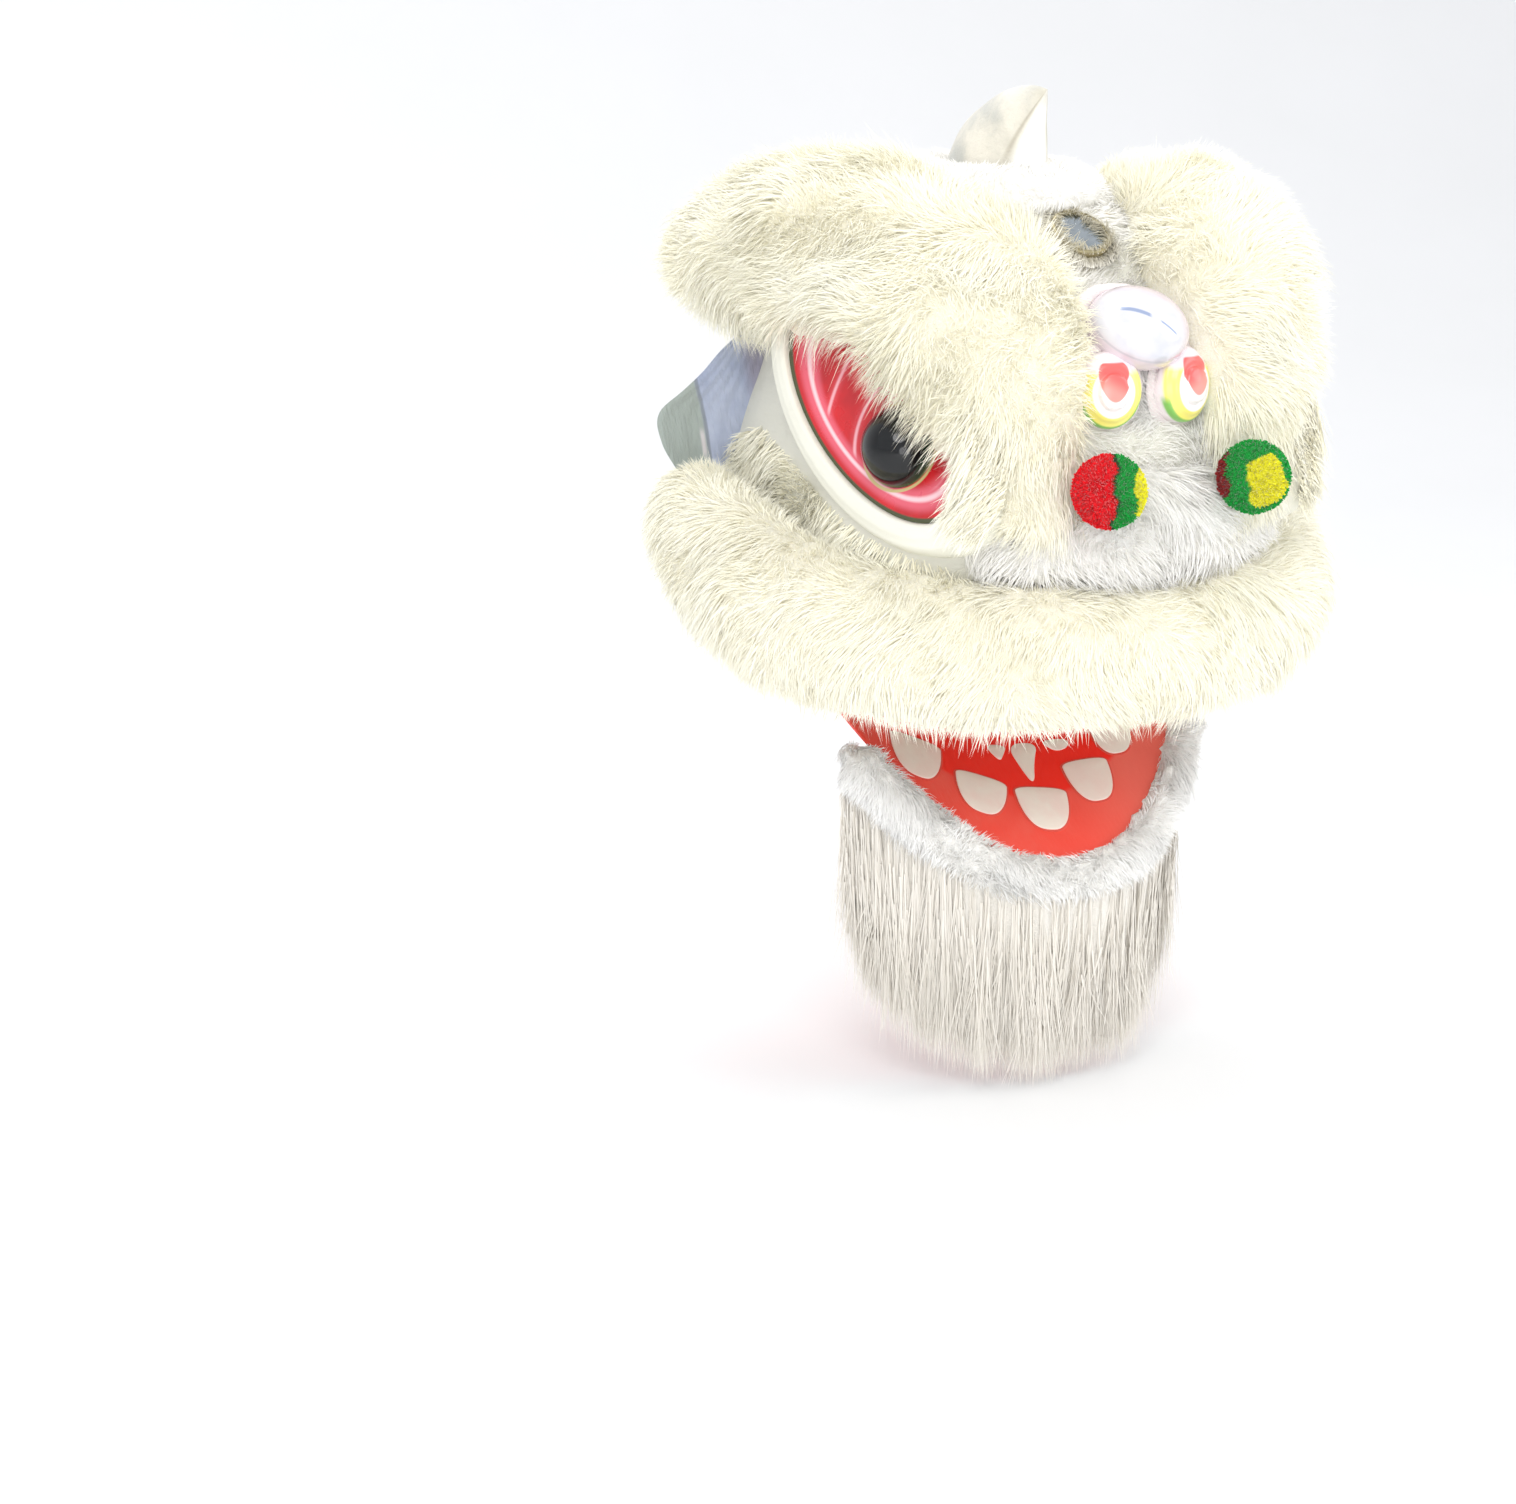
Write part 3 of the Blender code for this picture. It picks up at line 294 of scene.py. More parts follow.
class Paint:
    """A procedural material under construction."""

    def __init__(self, name, **constants):
        self.material = bpy.data.materials.new(name)
        self.material.use_nodes = True
        self.tree = self.material.node_tree
        self.shader = self.tree.nodes["Principled BSDF"]
        for socket, value in constants.items():
            self.shader.inputs[socket.replace("_", " ").title().replace("Ior", "IOR")].default_value = value

    def node(self, kind, inputs=(), **settings):
        made = self.tree.nodes.new(kind)
        for key, value in settings.items():
            setattr(made, key, value)
        for key, value in dict(inputs).items():
            self.feed(made.inputs[key], value)
        return made

    def feed(self, socket, value):
        if isinstance(value, Value):
            self.tree.links.new(value.socket, socket)
        elif isinstance(value, bpy.types.NodeSocket):
            self.tree.links.new(value, socket)
        else:
            socket.default_value = value

    def math(self, operation, *values):
        made = self.node("ShaderNodeMath", enumerate(values), operation=operation)
        return Value(self, made.outputs[0])

    def high(self, *values):
        return self.math("MAXIMUM", *values)

    def place(self, kind="Object"):
        return self.node("ShaderNodeTexCoord").outputs[kind]

    def apart(self, vector):
        made = self.node("ShaderNodeSeparateXYZ", {0: vector})
        return [Value(self, made.outputs[i]) for i in range(3)]

    def attribute(self, name):
        return Value(self, self.node("ShaderNodeAttribute", attribute_name=name).outputs["Fac"])

    def noise(self, scale, detail=3.0, rough=0.55, vector=None, stretch=None):
        vector = vector or self.place()
        if stretch:
            vector = self.node("ShaderNodeMapping", {"Vector": vector, "Scale": stretch}).outputs[0]
        made = self.node("ShaderNodeTexNoise", {"Vector": vector, "Scale": scale, "Detail": detail, "Roughness": rough})
        return Value(self, made.outputs["Fac"])

    def wave(self, scale, direction="X"):
        made = self.node("ShaderNodeTexWave", {"Vector": self.place(), "Scale": scale}, bands_direction=direction)
        return Value(self, made.outputs["Fac"])

    def step(self, value, low, high):
        """0 below low and 1 above high, softly."""
        ends = {"Value": value, "From Min": low, "From Max": high}
        made = self.node("ShaderNodeMapRange", ends, interpolation_type="SMOOTHSTEP")
        return Value(self, made.outputs["Result"])

    def band(self, value, middle, half, soft):
        """1 within half of middle, and 0 beyond it."""
        off = self.math("ABSOLUTE", value - middle)
        return 1.0 - self.step(off, half - soft / 2, half + soft / 2)

    def distance(self, x, y, middle=(0.0, 0.0)):
        dx, dy = x - middle[0], y - middle[1]
        return self.math("SQRT", dx * dx + dy * dy)

    def mix(self, factor, first, second):
        made = self.node("ShaderNodeMix", data_type="RGBA")
        self.feed(made.inputs["Factor"], factor)
        for index, colour in ((6, first), (7, second)):
            self.feed(made.inputs[index], (*colour, 1.0) if isinstance(colour, tuple) else colour)
        return Value(self, made.outputs[2])

    def finish(self, colour, rough, bump=None, distance=0.001):
        self.feed(self.shader.inputs["Base Color"], colour)
        self.feed(self.shader.inputs["Roughness"], rough)
        if bump is not None:
            made = self.node("ShaderNodeBump", {"Height": bump, "Distance": distance, "Strength": 1.0})
            self.tree.links.new(made.outputs[0], self.shader.inputs["Normal"])
        return self.material


def fur_paint(name, root, tip, shade, spots=(), sheen=0.35):
    """Hair from a yellower root, darker there as painted shade deep in the coat, to the tip, with slow changes from
    place to place, and painted shade round some spots.
    """
    p = Paint(name, sheen_weight=sheen, sheen_roughness=0.5, specular_ior_level=0.25)
    colour = p.mix(p.attribute("tint"), root, tip)
    slow = p.step(p.noise(7.0, 2.0), 0.35, 0.75)
    colour = p.mix(slow * 0.55, colour, shade)
    # Painted shadow: the hair darkens round each spot, most near it.
    for (x, y, z), near, far, stain_and_shade in spots:
        px, py, pz = p.apart(p.place())
        off = p.math("SQRT", (px - x) * (px - x) + (py - y) * (py - y) + (pz - z) * (pz - z))
        colour = p.mix((1.0 - p.step(off, near, far)) * 0.7, colour, stain_and_shade)
    return p.finish(colour, 0.55 + p.noise(60.0) * 0.3)


def undercoat_paint(name, first, second):
    p = Paint(name, sheen_weight=0.2, specular_ior_level=0.2)
    fine = p.noise(420.0, 4.0, 0.7)
    colour = p.mix(p.step(fine, 0.3, 0.7), first, second)
    return p.finish(colour, 0.8 + fine * 0.2, fine, 0.002)


def papier_paint(name, base, stain_and_shade, grain=1.0):
    """Painted papier-mache: pasted edges, a brushed coat and a few grey stains."""
    p = Paint(name, specular_ior_level=0.35)
    slow = p.step(p.noise(9.0, 4.0, 0.6), 0.50, 0.78)
    specks = p.step(p.noise(150.0, 3.0, 0.7), 0.62, 0.75)
    colour = p.mix(slow * 0.55, base, stain_and_shade)
    colour = p.mix(specks * 0.16, colour, (0.55, 0.50, 0.42))
    brushed = p.noise(55.0, 4.0, 0.6, stretch=(1.0, 1.0, 3.0))
    return p.finish(colour, 0.42 + slow * 0.2 + brushed * 0.1, brushed + p.noise(14.0, 2.0) * 2.0, 0.0012 * grain)


def eye_paint():
    """Red lacquer with a pink band along the lower edge, two thin arcs and a dark outline, in the eye's own plane."""
    p = Paint("eye_lacquer", coat_weight=0.6, coat_roughness=0.12)
    x, y, _ = p.apart(p.place("UV"))
    r = p.distance(x / EYE_LONG, y / EYE_SHORT)
    slow = p.noise(30.0, 3.0)
    colour = p.mix(p.step(slow, 0.3, 0.7), (0.66, 0.004, 0.010), (0.50, 0.002, 0.008))
    lower = p.step(y / EYE_SHORT, 0.25, -0.10)
    wide = p.band(r, 0.80, 0.095, 0.09) * lower
    colour = p.mix(wide * 0.85, colour, (0.80, 0.13, 0.19))
    colour = p.mix(p.band(r, 0.795, 0.022, 0.035) * lower, colour, (0.96, 0.62, 0.66))
    inside = 1.0 - p.step(r, 0.70, 0.76)
    for middle, radius in (((-0.045, 0.0), 0.065), ((-0.045, 0.020), 0.114)):
        arc = p.band(p.distance(x, y, middle), radius, 0.0016, 0.0026) * inside
        halo = p.band(p.distance(x, y, middle), radius, 0.005, 0.008) * inside
        colour = p.mix(halo * 0.30, colour, (0.80, 0.12, 0.16))
        colour = p.mix(arc * 0.85, colour, (0.95, 0.50, 0.55))
    pupil = (
        PUPIL_SHIFT[0] * EYE_COS + PUPIL_SHIFT[1] * EYE_SIN,
        -PUPIL_SHIFT[0] * EYE_SIN + PUPIL_SHIFT[1] * EYE_COS,
    )
    ring = p.distance(x, y, pupil)
    colour = p.mix(p.band(ring, PUPIL_RADIUS + 0.0012, 0.0016, 0.0012), colour, (0.62, 0.50, 0.22))
    colour = p.mix(p.step(r, 0.945, 0.965), colour, (0.06, 0.07, 0.02))
    return p.finish(colour, 0.22 + slow * 0.12, p.noise(120.0), 0.0003)


def pupil_paint():
    p = Paint("pupil_gloss", coat_weight=0.25, coat_roughness=0.05, specular_ior_level=0.35)
    x, y, _ = p.apart(p.place("UV"))
    r = p.distance(x, y) / PUPIL_RADIUS
    slow = p.noise(60.0, 2.0)
    colour = p.mix(p.step(r, 0.86, 0.93), (0.004, 0.005, 0.006), (0.010, 0.045, 0.022))
    colour = p.mix(p.step(r, 0.955, 0.985), colour, (0.30, 0.30, 0.12))
    return p.finish(colour, 0.07 + slow * 0.06, slow, 0.0002)


def nose_paint():
    """Pearly white with a pale pink edge, a soft grey-blue stroke that is a painted reflection, and a grey line of
    painted shade along the lower left edge.
    """
    p = Paint("nose_pearl", coat_weight=0.8, coat_roughness=0.08)
    x, y, _ = p.apart(p.place("UV"))  # Decimetres across and up, as seen from the front right
    slow = p.noise(26.0, 3.0)
    colour = p.mix(p.step(slow, 0.35, 0.7), (0.70, 0.69, 0.73), (0.60, 0.61, 0.68))
    turned = p.distance((x * 0.91 - y * 0.42) / 0.54, (x * 0.42 + y * 0.91) / 0.37)
    colour = p.mix(p.step(turned, 0.80, 1.0) * 0.5, colour, (0.72, 0.54, 0.60))
    # Painted reflection: a grey-blue stroke across the upper middle, broad at the left and thin at the right.
    curve = y - 0.15 + (x + 0.21) * (x + 0.21) * 0.75
    broad = p.band(curve, 0.0, 0.020, 0.018) * p.band(x, -0.05, 0.15, 0.05)
    thin = p.band(curve, 0.0, 0.012, 0.012) * p.band(x, 0.28, 0.08, 0.04)
    colour = p.mix(p.high(broad * 0.85, thin * 0.95), colour, (0.20, 0.27, 0.44))
    # Painted shade: a grey line along the lower left edge of the bulb.
    edge = p.band(turned, 0.93, 0.022, 0.03) * p.step(y + x * 0.4, 0.0, -0.10)
    colour = p.mix(edge * 0.5, colour, (0.45, 0.45, 0.50))
    return p.finish(colour, 0.10 + slow * 0.14, p.noise(45.0, 2.0), 0.0006)


def nostril_paint():
    """A salmon heart in a white ring, then yellow that turns green below, and a pinkish white flange."""
    p = Paint("nostril_lacquer", coat_weight=0.5, coat_roughness=0.15)
    x, y, _ = p.apart(p.place("UV"))
    slow = p.noise(60.0, 3.0)
    shield = p.distance(x / (0.44 + y * 0.22), (y - 0.34) / 0.58)
    ring = p.distance(x, y - 0.04)
    colour = p.mix(slow * 0.3, (0.93, 0.86, 0.88), (0.92, 0.72, 0.76))
    yellow = p.band(ring, 0.80, 0.15, 0.05) * p.step(y, 0.62, 0.42)
    colour = p.mix(yellow, colour, (0.95, 0.86, 0.20))
    green = p.band(ring, 0.93, 0.06, 0.04) * p.step(y, -0.10, -0.40)
    colour = p.mix(green, colour, (0.22, 0.55, 0.10))
    colour = p.mix(1.0 - p.step(ring, 0.62, 0.66), colour, (0.95, 0.90, 0.89))
    red = p.mix(p.step(y - x * 0.5, 0.0, 0.45), (0.93, 0.31, 0.27), (0.80, 0.13, 0.12))
    top = 1.0 - p.step(y, 0.74, 0.80)
    colour = p.mix((1.0 - p.step(shield, 0.86, 0.94)) * top, colour, red)
    return p.finish(colour, 0.25 + slow * 0.15, slow, 0.0005)


def horn_paint():
    """A cream front band between greyer, softly ribbed sides: the band is a painted highlight down the front, and the
    sides are darkened as painted shade.
    """
    p = Paint("horn_felt", sheen_weight=0.3, specular_ior_level=0.3)
    x, y, _ = p.apart(p.place("UV"))
    slow = p.noise(16.0, 4.0, 0.6)
    colour = p.mix(p.step(slow, 0.35, 0.7), (0.84, 0.80, 0.70), (0.68, 0.65, 0.56))
    grey = p.step(slow, 0.45, 0.70) * p.step(x, 0.12, 0.30)
    colour = p.mix(grey * 0.6, colour, (0.50, 0.52, 0.50))
    # Painted shade low on the sides, by the fur collar at the horn's foot.
    colour = p.mix((1.0 - p.step(y, 0.0, 0.35)) * p.step(x, 0.12, 0.25) * 0.5, colour, (0.50, 0.55, 0.60))
    # Painted light and shade: the pale band down the front stands for light on it, and the darker side colours for
    # shade.
    front = 1.0 - p.step(x, 0.085, 0.125)
    colour = p.mix(front, colour, (0.95, 0.94, 0.90))
    colour = p.mix(p.band(x, 0.135, 0.010, 0.02) * p.step(y, 0.45, 0.65) * 0.6, colour, (0.40, 0.36, 0.28))
    tip = p.step(y, 0.86, 0.98)
    colour = p.mix(tip * 0.5, colour, (0.55, 0.52, 0.42))
    weave = p.noise(330.0, 3.0, 0.7)
    return p.finish(colour, 0.62 + weave * 0.2, weave + slow * 3.0, 0.0010)


def mirror_paint():
    p = Paint("mirror_silver", metallic=1.0)
    slow = p.noise(20.0, 3.0)
    specks = p.step(p.noise(240.0, 2.0), 0.66, 0.74)
    colour = p.mix(p.step(slow, 0.3, 0.7), (0.50, 0.55, 0.58), (0.34, 0.38, 0.40))
    colour = p.mix(specks * 0.5, colour, (0.28, 0.27, 0.22))
    return p.finish(colour, 0.08 + slow * 0.12 + specks * 0.3, specks, 0.0001)


def metal_paint(name, bright, dull, rough):
    p = Paint(name, metallic=1.0)
    slow = p.noise(70.0, 4.0, 0.65)
    scratch = p.noise(300.0, 2.0, 0.5, stretch=(1.0, 6.0, 1.0))
    colour = p.mix(p.step(slow, 0.35, 0.72), bright, dull)
    return p.finish(colour, rough + slow * 0.25, scratch, 0.0003)


def satin_paint():
    """Pale blue satin over card, with a greyer outer lobe, a pinkish inner side darkened as painted shade, and a small
    painted highlight.
    """
    p = Paint("ear_satin", sheen_weight=0.5, sheen_roughness=0.35, anisotropic=0.4)
    x, y, _ = p.apart(p.place("UV"))
    slow = p.noise(18.0, 3.0, 0.6)
    colour = p.mix(p.step(slow, 0.3, 0.7), (0.60, 0.66, 0.82), (0.44, 0.50, 0.68))
    # Painted shade: the pinkish inner side is darker.
    colour = p.mix(p.step(x, 0.05, -0.14) * 0.65, colour, (0.40, 0.34, 0.42))
    colour = p.mix(p.step(x, 0.50, 0.56) * 0.9, colour, (0.46, 0.52, 0.46))
    colour = p.mix(p.band(x, 0.52, 0.018, 0.02) * 0.6, colour, (0.22, 0.24, 0.28))
    glint = p.band(x, 0.57, 0.022, 0.03) * p.band(y, 0.20, 0.09, 0.08)
    colour = p.mix(glint * 0.8, colour, (0.95, 0.88, 0.90))
    crease = p.noise(30.0, 3.0, 0.5, vector=p.place("UV"), stretch=(1.0, 0.25, 1.0))
    weave = p.wave(900.0) * 0.10 + p.wave(900.0, direction="Z") * 0.10
    return p.finish(colour, 0.26 + slow * 0.22, crease * 3.0 + weave, 0.0012)


def jaw_paint():
    """Red gloss paint, paler and coral towards the front edge and lighter to the right as a painted highlight, brushed
    along the board.
    """
    p = Paint("jaw_gloss", coat_weight=0.35, coat_roughness=0.2)
    x, y, _ = p.apart(p.place("UV"))
    slow = p.noise(12.0, 4.0, 0.6)
    middle = x - 0.010
    front = 1.0 - p.step(y - middle * middle * 3.4, 0.076, 0.084)
    colour = p.mix(front, (1.0, 0.013, 0.003), (0.95, 0.075, 0.050))
    colour = p.mix(p.step(slow, 0.45, 0.75) * front * 0.5, colour, (0.93, 0.15, 0.11))
    # Painted highlight: lighter coral towards the right of the front band.
    colour = p.mix(p.step(x, 0.0, 0.13) * front * 0.6, colour, (0.93, 0.20, 0.15))
    brushed = p.noise(70.0, 3.0, 0.6, vector=p.place("UV"), stretch=(4.0, 1.0, 1.0))
    return p.finish(colour, 0.30 + slow * 0.2, brushed, 0.0006)


def tooth_paint():
    p = Paint("tooth_enamel", coat_weight=0.3, coat_roughness=0.2)
    slow = p.noise(26.0, 3.0)
    colour = p.mix(p.step(slow, 0.3, 0.7), (0.93, 0.84, 0.74), (0.93, 0.74, 0.66))
    return p.finish(colour, 0.30 + slow * 0.15, p.noise(80.0), 0.0004)


def outline_paint():
    p = Paint("tooth_outline")
    slow = p.noise(40.0)
    colour = p.mix(slow, (0.72, 0.07, 0.045), (0.80, 0.10, 0.07))
    return p.finish(colour, 0.4 + slow * 0.2, slow, 0.0002)


def bamboo_paint(name, light, dark):
    """Split bamboo or plain wood: long grain and darker streaks."""
    p = Paint(name)
    grain = p.noise(45.0, 4.0, 0.6, stretch=(0.12, 1.0, 1.0))
    fine = p.noise(400.0, 3.0, 0.6, stretch=(0.06, 1.0, 1.0))
    colour = p.mix(p.step(grain, 0.35, 0.70), light, dark)
    colour = p.mix(p.step(fine, 0.55, 0.75) * 0.4, colour, (0.28, 0.17, 0.08))
    return p.finish(colour, 0.50 + grain * 0.2, fine + grain, 0.0008)


def wool_paint():
    """Wool yarn in the colour that its tuft was dyed."""
    p = Paint("pompom_wool", sheen_weight=0.6, sheen_roughness=0.4, specular_ior_level=0.2)
    dyed = p.node("ShaderNodeAttribute", attribute_name="dye").outputs["Color"]
    fine = p.noise(500.0, 3.0, 0.7)
    shaded = p.mix(p.step(fine, 0.35, 0.65), dyed, (0.0, 0.0, 0.0))
    colour = p.mix(0.75, shaded, dyed)
    return p.finish(colour, 0.75 + fine * 0.2, fine, 0.0006)


# Roots are yellower and darker than tips; their darkness is painted shade deep in the coat.
CREAM_ROOT, CREAM_TIP, CREAM_SHADE = (0.985, 0.935, 0.74), (0.995, 0.98, 0.875), (0.985, 0.95, 0.79)
CREAM_FUR = fur_paint("cream_fur", CREAM_ROOT, CREAM_TIP, CREAM_SHADE)
CREAM_UNDERCOAT = undercoat_paint("cream_undercoat", (0.90, 0.85, 0.66), (0.95, 0.92, 0.80))
WHITE_COLOURS = (0.90, 0.87, 0.79), (0.985, 0.975, 0.955), (0.945, 0.93, 0.89)
MIRROR_MIDDLE = from_nose(*MIRROR_PLACE)
MIRROR_OUT = np.array((0, -math.sin(MIRROR_TILT), math.cos(MIRROR_TILT)))
MIRROR_SPOT = (MIRROR_MIDDLE.tolist(), MIRROR_RADIUS + 0.004, MIRROR_RADIUS + 0.030)
WHITE_FUR = fur_paint("white_fur", *WHITE_COLOURS)
# Painted shadow in the hair round the sunken mirror, olive-brown.
CROWN_FUR = fur_paint("crown_fur", *WHITE_COLOURS, [(*MIRROR_SPOT, (0.34, 0.29, 0.14))])
# A paler copy of the white fur, as painted light on the trim that sits in the lip's shade.
TRIM_FUR = fur_paint("trim_fur", (0.96, 0.95, 0.91), (1.0, 0.995, 0.98), (0.975, 0.965, 0.94))
WHITE_UNDERCOAT = undercoat_paint("white_undercoat", (0.92, 0.90, 0.85), (0.97, 0.96, 0.93))
BEARD_HAIR = fur_paint("beard_hair", (0.80, 0.76, 0.68), (0.83, 0.79, 0.72), (0.76, 0.72, 0.64), sheen=0.0)
BEARD_UNDERCOAT = undercoat_paint("beard_undercoat", (0.84, 0.80, 0.73), (0.88, 0.85, 0.78))
SHELL_PAPER = papier_paint("shell_paper", (0.76, 0.75, 0.67), (0.56, 0.55, 0.48))
SOCKET_PAPER = papier_paint("socket_paper", (0.83, 0.82, 0.72), (0.60, 0.57, 0.46), 0.5)
RUFFLE_FELT = undercoat_paint("ruffle_felt", (0.92, 0.80, 0.80), (0.95, 0.90, 0.88))
RIM_TAPE = undercoat_paint("rim_tape", (0.62, 0.56, 0.44), (0.72, 0.67, 0.55))
INSIDE_PAPER = papier_paint("inside_paper", (0.72, 0.66, 0.52), (0.52, 0.46, 0.34), 2.0)
EYE_LACQUER, PUPIL_GLOSS, NOSE_PEARL, NOSTRIL_LACQUER = eye_paint(), pupil_paint(), nose_paint(), nostril_paint()
HORN_FELT, MIRROR_SILVER, SATIN = horn_paint(), mirror_paint(), satin_paint()
GILT = metal_paint("gilt", (0.46, 0.40, 0.24), (0.24, 0.21, 0.12), 0.3)
BRASS = metal_paint("spring_brass", (0.66, 0.50, 0.24), (0.34, 0.25, 0.12), 0.25)
STEEL = metal_paint("pin_steel", (0.62, 0.62, 0.64), (0.40, 0.40, 0.42), 0.3)
JAW_GLOSS, TOOTH, TOOTH_LINE = jaw_paint(), tooth_paint(), outline_paint()
BAR_WOOD = bamboo_paint("bar_wood", (0.60, 0.43, 0.24), (0.42, 0.28, 0.14))
RATTAN = bamboo_paint("rattan", (0.66, 0.50, 0.28), (0.46, 0.32, 0.16))
WOOL = wool_paint()


# Meshes


class Shape:
    """Collects surfaces for one piece."""

    def __init__(self):
        self.points, self.faces, self.uvs, self.slots = [], [], [], []
        self.count = 0

    def add(self, points, faces, uv=None, slot=0):
        points = np.asarray(points, float).reshape(-1, 3)
        uv = np.zeros((len(points), 2)) if uv is None else np.asarray(uv, float).reshape(-1, 2)
        self.points.append(points)
        self.uvs.append(uv)
        self.faces += [[self.count + i for i in face] for face in faces]
        self.slots += [slot] * len(faces)
        self.count += len(points)

    def grid(self, points, wrap=False, caps=(False, False), uv=None, slot=0):
        """A surface through rows of points. wrap joins the ends of each row, and caps close the first and last rows."""
        rows, columns = points.shape[:2]
        faces = []
        across = columns if wrap else columns - 1
        for r in range(rows - 1):
            for c in range(across):
                d = (c + 1) % columns
                faces.append([r * columns + c, r * columns + d, (r + 1) * columns + d, (r + 1) * columns + c])
        flat = points.reshape(-1, 3)
        flat_uv = None if uv is None else uv.reshape(-1, 2)
        for closed, row in zip(caps, (0, rows - 1)):
            if closed:
                middle = points[row].mean(axis=0)
                flat = np.vstack([flat, middle])
                if flat_uv is not None:
                    flat_uv = np.vstack([flat_uv, uv[row].mean(axis=0)])
                tip = len(flat) - 1
                for c in range(columns):
                    faces.append([row * columns + c, row * columns + (c + 1) % columns, tip])
        self.add(flat, faces, flat_uv, slot)

    def loft(self, rings, uv=None, slot=0):
        """A closed form through rings of points."""
        self.grid(np.array(rings), True, (True, True), None if uv is None else np.array(uv), slot)

    def make(self, name, *materials, weld=True):
        points, uvs = np.vstack(self.points), np.vstack(self.uvs)
        mesh = bpy.data.meshes.new(name)
        mesh.from_pydata(points.tolist(), [], self.faces)
        layer = mesh.uv_layers.new(name="UVMap")
        corner = np.zeros(len(mesh.loops), int)
        mesh.loops.foreach_get("vertex_index", corner)
        layer.data.foreach_set("uv", uvs[corner].astype(np.float32).ravel())
        mesh.polygons.foreach_set("material_index", self.slots)
        for look in materials:
            mesh.materials.append(look)
        body = bmesh.new()
        body.from_mesh(mesh)
        if weld:
            bmesh.ops.remove_doubles(body, verts=body.verts, dist=1e-6)
        bmesh.ops.recalc_face_normals(body, faces=body.faces)
        body.to_mesh(mesh)
        body.free()
        mesh.polygons.foreach_set("use_smooth", [True] * len(mesh.polygons))
        made = bpy.data.objects.new(name, mesh)
        bpy.context.scene.collection.objects.link(made)
        return made


def tube(shape, path, radius, sides=10):
    """A round wire along a path."""
    path = np.asarray(path, float)
    tangent = unit(np.gradient(path, axis=0))
    reference = unit(np.cross(tangent[0], (0.3, 0.9, 0.4)))
    rings = []
    for place, way in zip(path, tangent):
        reference = unit(reference - (reference @ way) * way)
        other = np.cross(way, reference)
        turn = turns(sides)
        rings.append(place + radius * (np.cos(turn)[:, None] * reference + np.sin(turn)[:, None] * other))
    shape.loft(rings)


def placed(obj, node, body="head", sharp=None):
    """Rides on its body and stands for its node. Edges past sharp degrees are shaded as edges."""
    if sharp:
        obj.data.set_sharp_from_angle(angle=math.radians(sharp))
    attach(obj, body)
    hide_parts(node)


# Where things are, for hair to keep clear of them


ROW_LEVELS = np.array([(CROWN[0], 0.001, CROWN[1] + 0.001, CROWN[1], CROWN[1] - 0.001)] + list(SHELL_ROWS))


def shell_at(points):
    """Level, place ahead of the widest line, half width and depth of the shell round each point."""
    ahead, above = from_face(points)
    levels = ROW_LEVELS[::-1]
    half, front, widest, back = (np.interp(above, levels[:, 0], levels[:, i]) for i in (1, 2, 3, 4))
    return above, ahead - widest, half, np.where(ahead > widest, front - widest, widest - back)


def inside_shell(points, grow=0.0):
    above, off, half, depth = shell_at(points)
    q = SHELL_SQUARENESS
    share = np.abs(points[:, 0] / (half + grow)) ** q + np.abs(off / (depth + grow)) ** q
    return (share < 1) & (above < CROWN[0] + grow) & (above > SHELL_ROWS[-1][0] - grow)


def onto_shell(points, sink=0.002):
    """Points deeper than sink under the shell's surface, moved out to that depth."""
    above, off, half, depth = shell_at(points)
    q = SHELL_SQUARENESS
    half, depth = np.maximum(half - sink, 0.01), np.maximum(depth - sink, 0.01)
    share = np.abs(points[:, 0] / half) ** q + np.abs(off / depth) ** q
    deep = (share < 1) & (share > 0.2) & (above < CROWN[0] - sink) & (above > SHELL_ROWS[-1][0])
    scale = np.where(deep, np.maximum(share, 0.2) ** (-1 / q), 1.0)
    return np.column_stack([points[:, 0] * scale, points[:, 1] - off * (scale - 1), points[:, 2]])


def over_crown(points, sink=0.002):
    """Points under the top of the shell, raised to its surface."""
    level = points[:, 2].copy()
    for above in np.linspace(0.0, CROWN[0], 80):
        height = NOSE[2] + above - sink
        probe = np.column_stack([points[:, :2], np.full(len(points), NOSE[2] + above)])
        level = np.where(inside_shell(probe), np.maximum(level, height), level)
    return np.column_stack([points[:, :2], level])


REAR_EDGE = from_nose(0, *REAR_TOP)
REAR_UP = unit(REAR_EDGE - from_nose(0, *REAR_FOOT))
REAR_WAY = np.array((0, REAR_UP[2], -REAR_UP[1]))


def behind_rear(points, inset=0.0):
    """Beyond the plane of the rear opening, or closer to it than inset."""
    return (points - REAR_EDGE) @ REAR_WAY > -inset


def in_horn(points, grow=0.002):
    rows = np.array(HORN_ROWS + ((*HORN_TIP, 0.002, 0.002),))
    ahead, above = from_face(points)
    middle, half_width, half_depth = (np.interp(above, rows[:, 1], rows[:, i]) for i in (0, 2, 3))
    off = ahead - middle
    return (points[:, 0] / (half_width + grow)) ** 2 + (off / (half_depth + grow)) ** 2 < 1


HAIR_LOW, HAIR_HIGH = np.array((-0.398, -0.444, -0.612)), np.array((0.398, 0.199, 0.480))


def out_of_reach(points):
    """Beyond the room that the fur may take up."""
    return np.any((points < HAIR_LOW) | (points > HAIR_HIGH), axis=1)


def eye_axes(side):
    out = facing(EYE_FACING, side)
    up = unit(np.array((0, 0, 1.0)) - out[2] * out)
    back = np.cross(up, out) * side
    return on_side(EYE_PLACE, side), back, up, out


